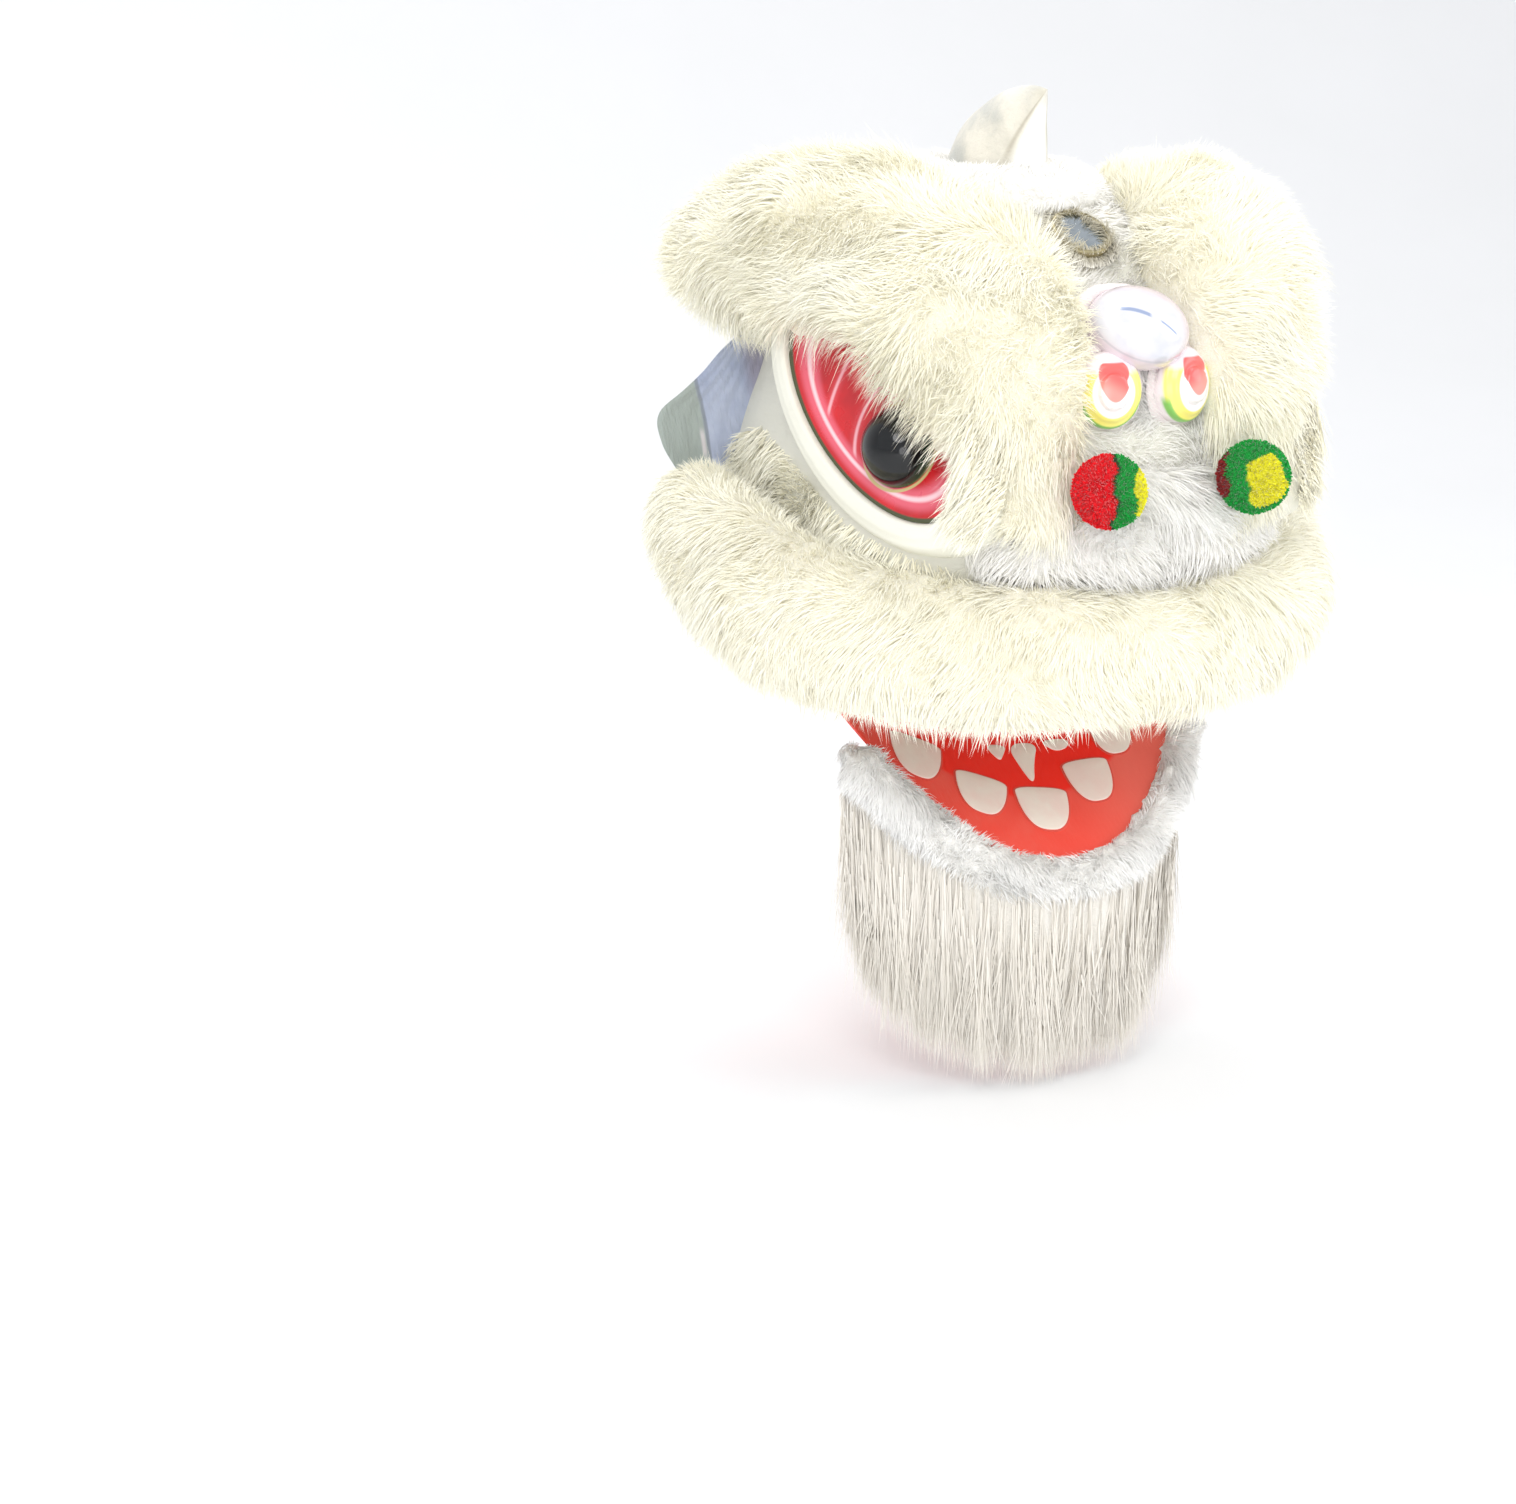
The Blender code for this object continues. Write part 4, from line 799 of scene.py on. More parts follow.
def eye_place(points, side):
    """Along the eye's long axis, across it, and off its plane."""
    middle, back, up, out = eye_axes(side)
    off = points - middle
    x, y, z = off @ back, off @ up, off @ out
    return x * EYE_COS + y * EYE_SIN, y * EYE_COS - x * EYE_SIN, z


def from_eye(side, along, across, height):
    middle, back, up, out = eye_axes(side)
    x = along * EYE_COS - across * EYE_SIN
    y = along * EYE_SIN + across * EYE_COS
    return middle + x[..., None] * back + y[..., None] * up + np.asarray(height)[..., None] * out


def eye_ring(side, turn, grow, level):
    """Points round the eye's oval, made larger by grow, at a level off its plane."""
    return from_eye(side, (EYE_LONG + grow) * np.cos(turn), (EYE_SHORT + grow) * np.sin(turn), level)


def in_eye(points, grow, top):
    hit = np.zeros(len(points), bool)
    for side in (-1, 1):
        along, across, z = eye_place(points, side)
        oval = (along / (EYE_LONG + grow)) ** 2 + (across / (EYE_SHORT + grow)) ** 2 < 1
        hit |= oval & (z < top) & (z > -0.080) & (points[:, 0] * side > 0)
    return hit


def in_ball(points, middle, radius):
    return np.linalg.norm(points - middle, axis=1) < radius


def in_face(points, grow=0.003):
    """Inside the nose, a nostril or a pompom."""
    hit = in_ellipsoid(points, NOSE, BULB_HALF, -BULB_TILT, grow)
    for side in (-1, 1):
        place = on_side(NOSTRIL_PLACE, side)
        hit |= in_ellipsoid(points, place, NOSTRIL_HALF, 0.0, grow)
        hit |= in_ball(points, on_side(POMPOM_PLACE, side), POMPOM_RADIUS + grow)
    return hit


def in_ellipsoid(points, middle, half, tilt, grow):
    off = points - middle
    y = off[:, 1] * math.cos(tilt) - off[:, 2] * math.sin(tilt)
    z = off[:, 1] * math.sin(tilt) + off[:, 2] * math.cos(tilt)
    return (off[:, 0] / (half[0] + grow)) ** 2 + (y / (half[1] + grow)) ** 2 + (z / (half[2] + grow)) ** 2 < 1


def in_fittings(points):
    """Where an eye, the nose or a pompom takes the place of fur."""
    return in_eye(points, SOCKET_WIDTH * 0.8, 0.0) | in_face(points, -0.004)


def before_nose(points):
    """The clear space that shows the nose and nostrils from ahead."""
    ahead, above = from_face(points)
    wide = np.interp(above, (-0.125, -0.10, -0.05, 0.0, 0.035, 0.05), (0.0, 0.075, 0.080, 0.060, 0.045, 0.0))
    return (np.abs(points[:, 0]) < wide) & (ahead > -0.06)


# Fur


# The share of the hairs named below that is made, so that the meshes stay small
DENSITY = 0.52


def amount(count):
    return int(count * DENSITY)


class Roll:
    """A roll of fur: middles, half widths and half thicknesses along a path, with rounded ends."""

    def __init__(self, middle, across, out, size, end_share=0.8):
        steps = 10
        rows = [(m, a, o, np.zeros(3)) for m, a, o in zip(middle, across, out)]
        for end, inner in ((0, 3), (-1, -4)):
            way = unit(middle[end] - middle[inner])
            cap = []
            for k in range(1, steps + 1):
                turn = k / steps * math.pi / 2
                scale = max(math.cos(turn), 0.02)
                shift = way * size[end] * end_share * math.sin(turn)
                lean = way * math.tan(min(turn, 1.35))
                cap.append((middle[end] + shift, across[end] * scale, out[end] * scale, lean))
            rows = cap[::-1] + rows if end == 0 else rows + cap
        self.middle, self.across, self.out, self.lean = (np.array([r[i] for r in rows]) for i in range(4))

    def at(self, s, theta, scale):
        """Places, normals and the way along the roll."""
        i = np.clip(s.astype(int), 0, len(self.middle) - 2)
        f = (s - i)[:, None]
        parts = (self.middle, self.across, self.out, self.lean)
        mid, across, out, lean = (a[i] * (1 - f) + a[i + 1] * f for a in parts)
        cos, sin = np.cos(theta)[:, None], np.sin(theta)[:, None]
        place = mid + scale * (out * cos + across * sin)
        square = np.sum(out**2, axis=1, keepdims=True), np.sum(across**2, axis=1, keepdims=True)
        slope = out / square[0] * cos + across / square[1] * sin
        return place, unit(unit(slope) + lean), np.linalg.norm(place - mid, axis=1) / scale

    def scatter(self, count, draw, scale):
        """Random places, spread evenly over the surface."""
        sides = 64
        theta = turns(sides)
        cos, sin = np.cos(theta)[None, :, None], np.sin(theta)[None, :, None]
        surface = self.middle[:, None] + scale * (self.out[:, None] * cos + self.across[:, None] * sin)
        along = np.linalg.norm(surface[1:] - surface[:-1], axis=2)
        girth = np.linalg.norm(np.roll(surface, -1, axis=1) - surface, axis=2)[:-1]
        total = np.cumsum((along * girth).ravel())
        i, j = np.divmod(np.searchsorted(total, draw.random(count) * total[-1]), sides)
        return i + draw.random(count), (j + draw.random(count)) * 2 * math.pi / sides

    def undercoat(self, scale, rough, seed, settle=onto_shell, gone=None):
        """The felted surface under the hair, pressed against the shell, with holes where gone says so."""
        rows, sides = len(self.middle), 60
        s, theta = np.meshgrid(np.arange(rows, dtype=float), turns(sides), indexing="ij")
        place, normal, _ = self.at(s.ravel(), theta.ravel(), scale)
        lumps = ripple(place, 0.022, seed) + 0.6 * ripple(place, 0.009, seed + 1)
        place = settle(place + normal * (rough * lumps)[:, None])
        hidden = (gone or in_fittings)(place)
        faces = []
        for r in range(rows - 1):
            for c in range(sides):
                d = (c + 1) % sides
                face = [r * sides + c, r * sides + d, (r + 1) * sides + d, (r + 1) * sides + c]
                if not all(hidden[i] for i in face):
                    faces.append(face)
        used = sorted({i for face in faces for i in face})
        index = {old: new for new, old in enumerate(used)}
        shape = Shape()
        shape.add(place[used], [[index[i] for i in face] for face in faces])
        return shape


def brow_roll(side):
    core = from_nose(*CORE)
    rows = []
    for row in BROW_ROWS:
        inner = on_side(row, side)
        outer = on_side(row[3:], side)
        rows.append([*((inner + outer) / 2), *((inner - outer) / 2), row[6]])
    stations = through(rows, 120)
    if side > 0:
        level = np.linspace(0, 1, len(stations))
        stations[:, 2] += 0.013 * np.exp(-(((level - 0.50) / 0.10) ** 2)) - 0.024 * smooth(level, 0.60, 0.76)
        stations[:, 0] += 0.006 * np.exp(-(((level - 0.50) / 0.10) ** 2))
    middle, reach = stations[:, :3], stations[:, 3:6]
    away = middle - core
    share = np.sum(away * reach, axis=1, keepdims=True) / np.sum(reach**2, axis=1, keepdims=True)
    away = unit(away - share * reach)
    return Roll(middle, reach, away * stations[:, 6:7], stations[:, 6])


def path_roll(rows, count, out_of):
    stations = through(rows, count)
    middle = stations[:, :3]
    tangent = unit(np.gradient(middle, axis=0))
    out = out_of(middle)
    out = unit(out - np.sum(out * tangent, axis=1, keepdims=True) * tangent)
    return Roll(middle, np.cross(tangent, out) * stations[:, 3:4], out * stations[:, 4:5], stations[:, 4])


def both_sides(half):
    return half + [(-row[0], *row[1:]) for row in reversed(half[:-1])]


def front_roll(rows, count):
    half = [(*from_nose(*row[:3]), row[3], row[4]) for row in rows]
    axis = NOSE[1] + 0.205
    return path_roll(both_sides(half), count, lambda p: (p - (0, axis, 0)) * (1, 1, 0))


def jaw_point(side, along, off=0.0):
    """A place on the jaw board: sideways, up the slope from its tip, and off its face. Its sides curl up."""
    side, along = np.asarray(side, float), np.asarray(along, float)
    lift = JAW_CURL * side**2 + off
    back, up = math.cos(JAW_SLOPE), math.sin(JAW_SLOPE)
    ahead = JAW_TIP[0] - along * back + lift * up
    above = JAW_TIP[1] + along * up + lift * back
    return np.stack([side + 0 * ahead, NOSE[1] - ahead, NOSE[2] + above], axis=-1)


JAW_WIDTH = through([(row[0], 0.0, 0.0, row[1]) for row in JAW_ROWS], 60)


def trim_roll():
    rows = []
    for along in TRIM_ROWS:
        half = float(np.interp(along, JAW_WIDTH[:, 0], JAW_WIDTH[:, 3])) if along else 0.0
        slope = float(np.interp(along + 0.012, JAW_WIDTH[:, 0], JAW_WIDTH[:, 3])) - half
        away = unit(np.array((0.012, slope))) if half else np.array((0.0, 1.0))
        up_slope = unit(jaw_point(0, 1.0) - jaw_point(0, 0.0))
        place = jaw_point(half, along, -TRIM_DOWN)
        place = place + np.array((away[0] * TRIM_OUT, 0, 0)) - up_slope * away[1] * TRIM_OUT
        size = TRIM_HALF * (0.45 if along == TRIM_ROWS[0] else 1.0)
        rows.append((*place, size, size * 0.92))
    middle = jaw_point(0, 0.10)
    return path_roll(both_sides(rows), 140, lambda p: p - middle)


def collar_roll():
    middle = from_nose(0, HORN_ROWS[0][0] - 0.003, CROWN[0] + 0.003)
    turn = np.linspace(0, 2 * math.pi, 90)
    round_horn = np.stack([np.cos(turn), np.sin(turn), 0 * turn], axis=1)
    outward = unit(round_horn / (*COLLAR_REACH, 1.0))
    roll = Roll(middle + round_horn * (*COLLAR_REACH, 0.0), outward * 0, outward, turn * 0 + COLLAR_HALF[0])
    trimmed = slice(10, -10)
    roll.middle = roll.middle[trimmed]
    roll.out = outward * COLLAR_HALF[0] + np.array((0, 0, -0.012))
    roll.across = np.repeat([(0, 0, COLLAR_HALF[1])], len(turn), axis=0)
    roll.lean = np.zeros_like(roll.middle)
    return roll


# Hair flows away from this place, and neighbouring hairs share a lock by the cell they stand in.
FLOW_FROM = from_nose(0, -0.10, -0.10)
CELL_PRIMES = (73856093, 19349663, 83492791)


RIBBON_SHARE = 0.64  # A ribbon's half width as a share of the width that a hair asks for


class Hair:
    """Tapering ribbons of hair, gathered into one mesh. Most of them lie flat to the coat they grow from."""

    def __init__(self, seed):
        self.draw = np.random.default_rng(seed)
        self.points, self.tints, self.triangles = [], [], []
        self.count = 0

    def grow(self, lines, coat, width, tint, twist=0.55):
        """lines is strands by points by 3, coat the normal of the coat at each strand."""
        strands, steps = lines.shape[0], lines.shape[1] - 1
        way = unit(lines[:, -1] - lines[:, 0])
        flat = unit(np.cross(way, coat) + 0.02 * self.draw.normal(size=(strands, 3)))
        turn = self.draw.normal(scale=twist, size=strands)[:, None]
        side = flat * np.cos(turn) + np.cross(way, flat) * np.sin(turn)
        u = np.linspace(0, 1, steps + 1)
        half = (width[:, None] * RIBBON_SHARE * (1 - u[None, :-1]) ** 0.6)[..., None] * side[:, None]
        pairs = np.stack([lines[:, :-1] - half, lines[:, :-1] + half], axis=2).reshape(strands, 2 * steps, 3)
        points = np.concatenate([pairs, lines[:, -1:]], axis=1)
        each = 2 * steps + 1
        pattern = []
        for k in range(steps - 1):
            a = 2 * k
            pattern += [(a, a + 1, a + 3), (a, a + 3, a + 2)]
        pattern.append((2 * steps - 2, 2 * steps - 1, 2 * steps))
        start = self.count + np.arange(strands)[:, None, None] * each
        level = np.append(np.repeat(u[:-1], 2), 1.0)
        # Tints run low at the root and high at the tip; the darker root colour is painted shade deep in the coat.
        low, high = tint
        shift = self.draw.normal(scale=0.10, size=strands)[:, None]
        self.points.append(points.reshape(-1, 3))
        self.tints.append(np.clip(low + (high - low) * level[None] ** 0.7 + shift, 0, 1).reshape(-1))
        self.triangles.append((start + np.array(pattern)[None]).reshape(-1, 3))
        self.count += strands * each

    def make(self, name, look):
        return hair_mesh(name, np.vstack(self.points), np.concatenate(self.tints), np.vstack(self.triangles), look)


def dyed(mesh, colours):
    rgba = np.column_stack([colours, np.ones(len(colours))]).astype(np.float32)
    mesh.attributes.new("dye", "FLOAT_COLOR", "POINT").data.foreach_set("color", rgba.ravel())


def hair_mesh(name, points, tints, triangles, look, dyes=None):
    mesh = bpy.data.meshes.new(name)
    mesh.vertices.add(len(points))
    mesh.vertices.foreach_set("co", points.astype(np.float32).ravel())
    mesh.loops.add(triangles.size)
    mesh.loops.foreach_set("vertex_index", triangles.astype(np.int32).ravel())
    mesh.polygons.add(len(triangles))
    mesh.polygons.foreach_set("loop_start", np.arange(0, triangles.size, 3, dtype=np.int32))
    mesh.update(calc_edges=True)
    mesh.polygons.foreach_set("use_smooth", [True] * len(triangles))
    mesh.attributes.new("tint", "FLOAT", "POINT").data.foreach_set("value", tints.astype(np.float32))
    if dyes is not None:
        dyed(mesh, dyes)
    mesh.materials.append(look)
    made = bpy.data.objects.new(name, mesh)
    bpy.context.scene.collection.objects.link(made)
    return made


def bent(roots, way, sag, size, segments=2):
    """Hairs that leave their roots one way and sag another."""
    u = np.linspace(0, 1, segments + 1)[None, :, None]
    return roots[:, None] + size[:, None, None] * (way[:, None] * u + sag[:, None] * u**2)


def clumped(lines, roots, cell, pull, seed):
    """Draws the ends of neighbouring hairs together into locks."""
    warped = roots + 0.4 * cell * ripples(roots, cell * 5, seed)
    key = np.floor(warped / cell).astype(np.int64)
    _, label = np.unique(key @ np.array(CELL_PRIMES), return_inverse=True)
    label = label.ravel()
    size = np.bincount(label)
    tips = lines[:, -1]
    centre = np.stack([np.bincount(label, tips[:, k]) / size for k in range(3)], axis=1)[label]
    u = np.linspace(0, 1, lines.shape[1])[None, :, None]
    return lines + (centre - tips)[:, None] * pull[:, None, None] * u**1.6


def laid(draw, roots, normal, stand, fall, spread, mess, lean=None):
    """The way each hair leaves the coat: partly off it, and partly along it, down and away from the face."""
    n = len(roots)
    swirl = ripples(roots, 0.10, 11)
    fine = draw.normal(size=(n, 3))
    away = unit((roots - FLOW_FROM) * (1, 0.35, 1))
    up_side = smooth(normal[:, 2], -0.5, 0.5)[:, None]
    flow = np.array((0, 0, -fall)) * (1 - 0.6 * up_side) + away * spread * up_side + swirl * mess + fine * mess * 0.5
    if lean is not None:
        flow = flow + lean(roots, normal)
    flow -= np.sum(flow * normal, axis=1, keepdims=True) * normal
    return unit(normal * stand + flow), swirl, fine


def free_of_face(points, eye_top, grow=0.002):
    return ~(inside_shell(points, 0.001) | in_face(points, grow) | in_eye(points, 0.0, eye_top))


def strands(hair, roots, normal, length, width, stand, fall, spread, mess, cell, pull, tint, lean=None, eye_top=0.0,
            clear=None):
    """Hairs from these roots, without those that would run into the shell, the eyes or the nose."""
    draw = hair.draw
    n = len(roots)
    way, swirl, fine = laid(draw, roots, normal, stand, fall, spread, mess, lean)
    lift = np.maximum(np.sum(way * normal, axis=1), 0.34)
    size = length / lift * (0.78 + 0.34 * draw.random(n)) * (1 + 0.10 * ripple(roots, 0.05, 31))
    sag = np.array((0, 0, -0.18)) - normal * 0.10 + swirl * 0.10 + fine * 0.07
    lines = clumped(bent(roots, way, sag, size), roots, cell, pull * (0.4 + 0.9 * draw.random(n)), 51)
    free = np.ones(n, bool)
    for k in (1, 2):
        free &= free_of_face(lines[:, k], eye_top) & ~out_of_reach(lines[:, k])
        if clear is not None:
            free &= ~clear(lines[:, k])
    hair.grow(lines[free], normal[free], width * (0.7 + 0.6 * draw.random(int(free.sum()))), tint)


def roll_hair(hair, roll, count, width, scale=0.86, stand=0.62, fall=0.60, spread=0.45, mess=0.30, cell=0.012,
              pull=0.20, tint=(0.25, 1.0), proud=0.006, under=1.0, blocked=None, **more):
    """Hair all over a roll, whose tips end a little proud of the roll's own surface, and shorter by under below it."""
    s, theta = roll.scatter(count, hair.draw, scale)
    roots, normal, reach = roll.at(s, theta, scale)
    free = ~inside_shell(roots, -0.004) & ~in_eye(roots, SOCKET_WIDTH * 0.6, 0.0) & ~in_face(roots)
    if blocked is not None:
        free &= ~blocked(roots)
    roots, normal, reach = roots[free], normal[free], reach[free]
    length = (reach * (1 - scale) + proud) * (1 - (1 - under) * smooth(-normal[:, 2], 0.0, 0.7))
    strands(hair, roots, normal, length, width, stand, fall, spread, mess, cell, pull, tint, **more)


def eye_fringe(hair, side):
    """Longer hair that hangs from the brow over the upper edge of the eye, and covers its near end."""
    draw = hair.draw
    _, back, up, out = eye_axes(side)
    toward = back * EYE_COS + up * EYE_SIN
    over = up * EYE_COS - back * EYE_SIN
    n = amount(2600)
    along = -0.145 + 0.20 * draw.random(n) ** 1.3
    edge = EYE_SHORT * np.sqrt(np.clip(1 - (along / EYE_LONG) ** 2, 0, 1))
    upper = from_eye(side, along, edge + 0.010 + 0.022 * draw.random(n), 0.004 + 0.020 * draw.random(n))
    m = amount(5500)
    turn = math.pi + draw.uniform(-1.15, 0.02, m)
    grow = 0.040 * draw.random(m)
    level = 0.005 - 0.030 * smooth(grow, 0.016, 0.050) + 0.006 * draw.random(m)
    near = eye_ring(side, turn, grow, level)
    roots = np.vstack([upper, near])
    way = np.repeat([-over * 0.9 - toward * 0.25 + out * 0.16, toward * 0.45 - up * 0.70 + out * 0.22], (n, m), axis=0)
    way = unit(way + draw.normal(scale=0.18, size=(n + m, 3)))
    size = np.where(np.arange(n + m) < n, 0.030, 0.026) * (0.6 + 0.6 * draw.random(n + m))
    sag = np.array((0, 0, -0.30)) + draw.normal(scale=0.08, size=(n + m, 3))
    lines = clumped(bent(roots, way, sag, size, 3), roots, 0.010, 0.7 * draw.random(n + m), 57)
    free = np.ones(n + m, bool)
    for k in range(4):
        free &= ~in_eye(lines[:, k], SOCKET_WIDTH * 0.5, 0.0008) & ~in_face(lines[:, k])
    count = int(free.sum())
    hair.grow(lines[free], np.repeat(out[None], count, axis=0), np.full(count, 0.0010), (0.2, 0.9))


def shell_hair(name, seed, look, slot, count, length, width, where, more=None, **laying):
    """Short hair on the shell, where the test says so."""
    hair = Hair(seed)
    grid, draw, count = SHELL_GRID, hair.draw, amount(count)
    down, across = grid[1:, :-1] - grid[:-1, :-1], grid[:-1, 1:] - grid[:-1, :-1]
    normals = np.cross(across, down)
    area = np.linalg.norm(normals, axis=2)
    total = np.cumsum(area.ravel())
    i, j = np.divmod(np.searchsorted(total, draw.random(count) * total[-1]), area.shape[1])
    roots = grid[i, j] + down[i, j] * draw.random(count)[:, None] + across[i, j] * draw.random(count)[:, None]
    normal = unit(normals[i, j])
    normal *= np.where(np.sum(normal * (roots - (0, -0.07, -0.10)), axis=1, keepdims=True) < 0, -1, 1)
    keep = where(roots) & ~in_face(roots, 0.001) & ~behind_rear(roots, 0.006)
    roots, normal = roots[keep], normal[keep]
    strands(hair, roots, normal, length * np.ones(len(roots)), width, **laying)
    if more:
        more(hair)
    placed(hair.make(name, look), "head_shell")


def fur(name, node, slot, seed, look, roll, layers, body="head", more=None, **shared):
    """Layers of hair on a roll as one piece. Each layer has a count, a width and the way its hair is laid."""
    hair = Hair(seed)
    for count, width, laying in layers:
        roll_hair(hair, roll, amount(count), width, **shared, **laying)
    if more:
        more(hair)
    placed(hair.make(f"{name}_hair", look), node, body)


def felt(name, node, slot, look, roll, *settings, body="head"):
    """The undercoat of a roll as one piece: its scale, roughness and seed, and how it settles and where it opens."""
    placed(roll.undercoat(*settings).make(f"{name}_coat", look), node, body)


# Fur on the brows, the lip, the muzzle and round the horn's foot

for word, side in (("right", -1), ("left", 1)):
    roll, name = brow_roll(side), f"brow_fur_{word}"
    sweep = lambda p, n: np.outer(smooth(p[:, 1], -0.02, 0.10) * 0.45, (0.3 * side, 0.8, 0.2))
    guard = dict(scale=0.90, stand=0.95, spread=0.75, mess=0.45, proud=0.014, cell=0.016, pull=0.40, tint=(0.5, 1.0))
    fur(
        name, name, "cream_fur", 101, CREAM_FUR, roll,
        [(64000, 0.0010, dict(spread=0.55, lean=sweep)), (12000, 0.0008, guard)],
        more=lambda hair: eye_fringe(hair, side), fall=0.75, eye_top=0.012, clear=before_nose,
    )
    felt(name, name, "cream_fur", CREAM_UNDERCOAT, roll, 0.885, 0.0025, 5)

# The scene's lip ends a little higher at its lower edge than the solid, most of all at the sides.
rise = [0.007 + 0.006 * (row[0] > 0.2) for row in LIP_ROWS]
roll = front_roll([(x, y, z + up, wide - up, deep) for (x, y, z, wide, deep), up in zip(LIP_ROWS, rise)], 220)
for word, side in (("right", -1), ("left", 1)):
    sweep = lambda p, n: np.outer(smooth(np.abs(p[:, 0]), 0.1, 0.3) * 0.3, (0, 0.9, 0))
    guard = dict(
        scale=0.90, stand=0.90, fall=0.90, spread=0.65, mess=0.45, proud=0.012, cell=0.018, pull=0.60, tint=(0.5, 1.0)
    )
    main = dict(fall=0.80, spread=0.40, proud=0.004, under=0.75, lean=sweep)
    layers = [(92000, 0.0010, main), (14000, 0.0008, guard)]
    fur(f"lip_fur_{word}", "lip_fur", "cream_fur", 201, CREAM_FUR, roll, layers, blocked=lambda p: p[:, 0] * side < 0)
felt("lip_fur", "lip_fur", "cream_fur", CREAM_UNDERCOAT, roll, 0.885, 0.0025, 7)

roll = front_roll(MUZZLE_ROWS, 120)
layers = [(26000, 0.0009, dict(scale=0.82, fall=0.3, mess=0.6, cell=0.010, proud=0.012))]
fur("muzzle_fur", "muzzle_fur", "white_fur", 301, WHITE_FUR, roll, layers, stand=0.9, pull=0.45, tint=(0.4, 1.0))
felt("muzzle_fur", "muzzle_fur", "white_fur", WHITE_UNDERCOAT, roll, 0.86, 0.003, 9)

roll = collar_roll()
layers = [(26000, 0.0009, dict(scale=0.76, fall=0.1, mess=0.5, blocked=in_horn))]
fur("horn_collar", "horn_collar", "white_fur", 401, WHITE_FUR, roll, layers, stand=0.9, pull=0.45, tint=(0.4, 1.0))
felt("horn_collar", "horn_collar", "white_fur", WHITE_UNDERCOAT, roll, 0.82, 0.002, 9, over_crown)


# Fur and hair of the jaw


def jaw_place(points):
    """Sideways, up the slope and off the face of the jaw board."""
    ahead, above = NOSE[1] - points[:, 1] - JAW_TIP[0], points[:, 2] - NOSE[2] - JAW_TIP[1]
    back, up = math.cos(JAW_SLOPE), math.sin(JAW_SLOPE)
    along = -ahead * back + above * up
    lift = ahead * up + above * back
    return points[:, 0], along, lift - JAW_CURL * points[:, 0] ** 2


def over_board(points, grow=0.0):
    side, along, off = jaw_place(points)
    half = np.interp(along, JAW_WIDTH[:, 0], JAW_WIDTH[:, 3], left=0.0)
    return (np.abs(side) < half + grow) & (off > -JAW_THICK - 0.002) & (off < 0.15)


roll = trim_roll()
main = dict(scale=0.72, stand=0.85, fall=0.35, mess=0.5, proud=0.003, cell=0.010, pull=0.40, tint=(0.4, 1.0))
guard = dict(scale=0.80, stand=0.95, fall=0.4, mess=0.6, proud=0.009, cell=0.014, pull=0.5, tint=(0.5, 1.0))
fur(
    "jaw_fur", "jaw_fur", "white_fur", 501, TRIM_FUR, roll, [(46000, 0.0009, main), (7000, 0.0008, guard)], "jaw",
    blocked=lambda p: over_board(p, -0.006), clear=lambda p: over_board(p, -0.004),
)
on_board = lambda p: over_board(p, -0.012)
felt("jaw_fur", "jaw_fur", "white_fur", WHITE_UNDERCOAT, roll, 0.76, 0.002, 13, lambda p: p, on_board, body="jaw")

BEARD_PATH = both_sides([(*row[:2], 0.0, *row[2:]) for row in BEARD_ROWS])
BEARD_LINE = through(BEARD_PATH, 121)


def beard_hair():
    """Long hair in uneven lengths, hung from the jaw's edge."""
    hair = Hair(601)
    draw = hair.draw
    n = amount(34000)
    s = draw.random(n) * (len(BEARD_LINE) - 1)
    i = s.astype(int)
    f = (s - i)[:, None]
    row = BEARD_LINE[i] * (1 - f) + BEARD_LINE[i + 1] * f
    side, ahead, _, top, bottom, thick = row.T
    away = unit(np.stack([side, ahead + 0.30, 0 * side], axis=1))
    depth = draw.uniform(-1, 1, n)
    start = draw.random(n) ** 1.6 * 0.55
    level = top + 0.012 + (bottom - top) * start
    flute = 0.85 + 0.14 * np.sin(s * 1.9) + 0.10 * np.sin(s * 4.3 + 1)
    off = depth * thick * flute
    roots = np.stack([side, NOSE[1] - ahead, NOSE[2] + level], axis=1) + away * (1, -1, 0) * off[:, None]
    ragged = 0.018 * np.sin(s * 0.83) + 0.012 * np.sin(s * 2.7 + 2) + 0.016 * draw.normal(size=n)
    end = np.minimum(bottom + 0.010 - ragged, top - 0.09)
    end = np.where(draw.random(n) < 0.35, level + (end - level) * draw.uniform(0.5, 0.95, n), end)
    end = np.maximum(end, bottom - 0.018)
    length = level - end
    wave = ripples(roots * (1, 1, 0.2), 0.035, 61) * (1, 1, 0)
    u = np.linspace(0, 1, 4)[None, :, None]
    drift = wave * 0.014 + draw.normal(size=(n, 3)) * (0.013, 0.005, 0)
    drift[:, 0] -= side * 0.16 * length / 0.28
    curl = np.sin(u * 5 + draw.random(n)[:, None, None] * 6.3) * 0.0016 * wave[:, None]
    pinch = -away * (1, -1, 0) * (off * 0.5)[:, None]
    fall = np.array((0, 0, -1.0)) * length[:, None, None] * u
    lines = roots[:, None] + fall + (drift + pinch)[:, None] * u**1.4 + curl
    lines = clumped(lines, roots * (1, 1, 0.3), 0.014, 0.10 * draw.random(n), 71)
    normal = unit(away * (1, -1, 0) * np.sign(depth)[:, None] + (0, 0, 0.15))
    hair.grow(lines, normal, 0.0013 * (0.5 + 0.7 * draw.random(n)), (0.75, 1.0), 0.30)
    placed(hair.make("beard_hair", BEARD_HAIR), "beard", "jaw")


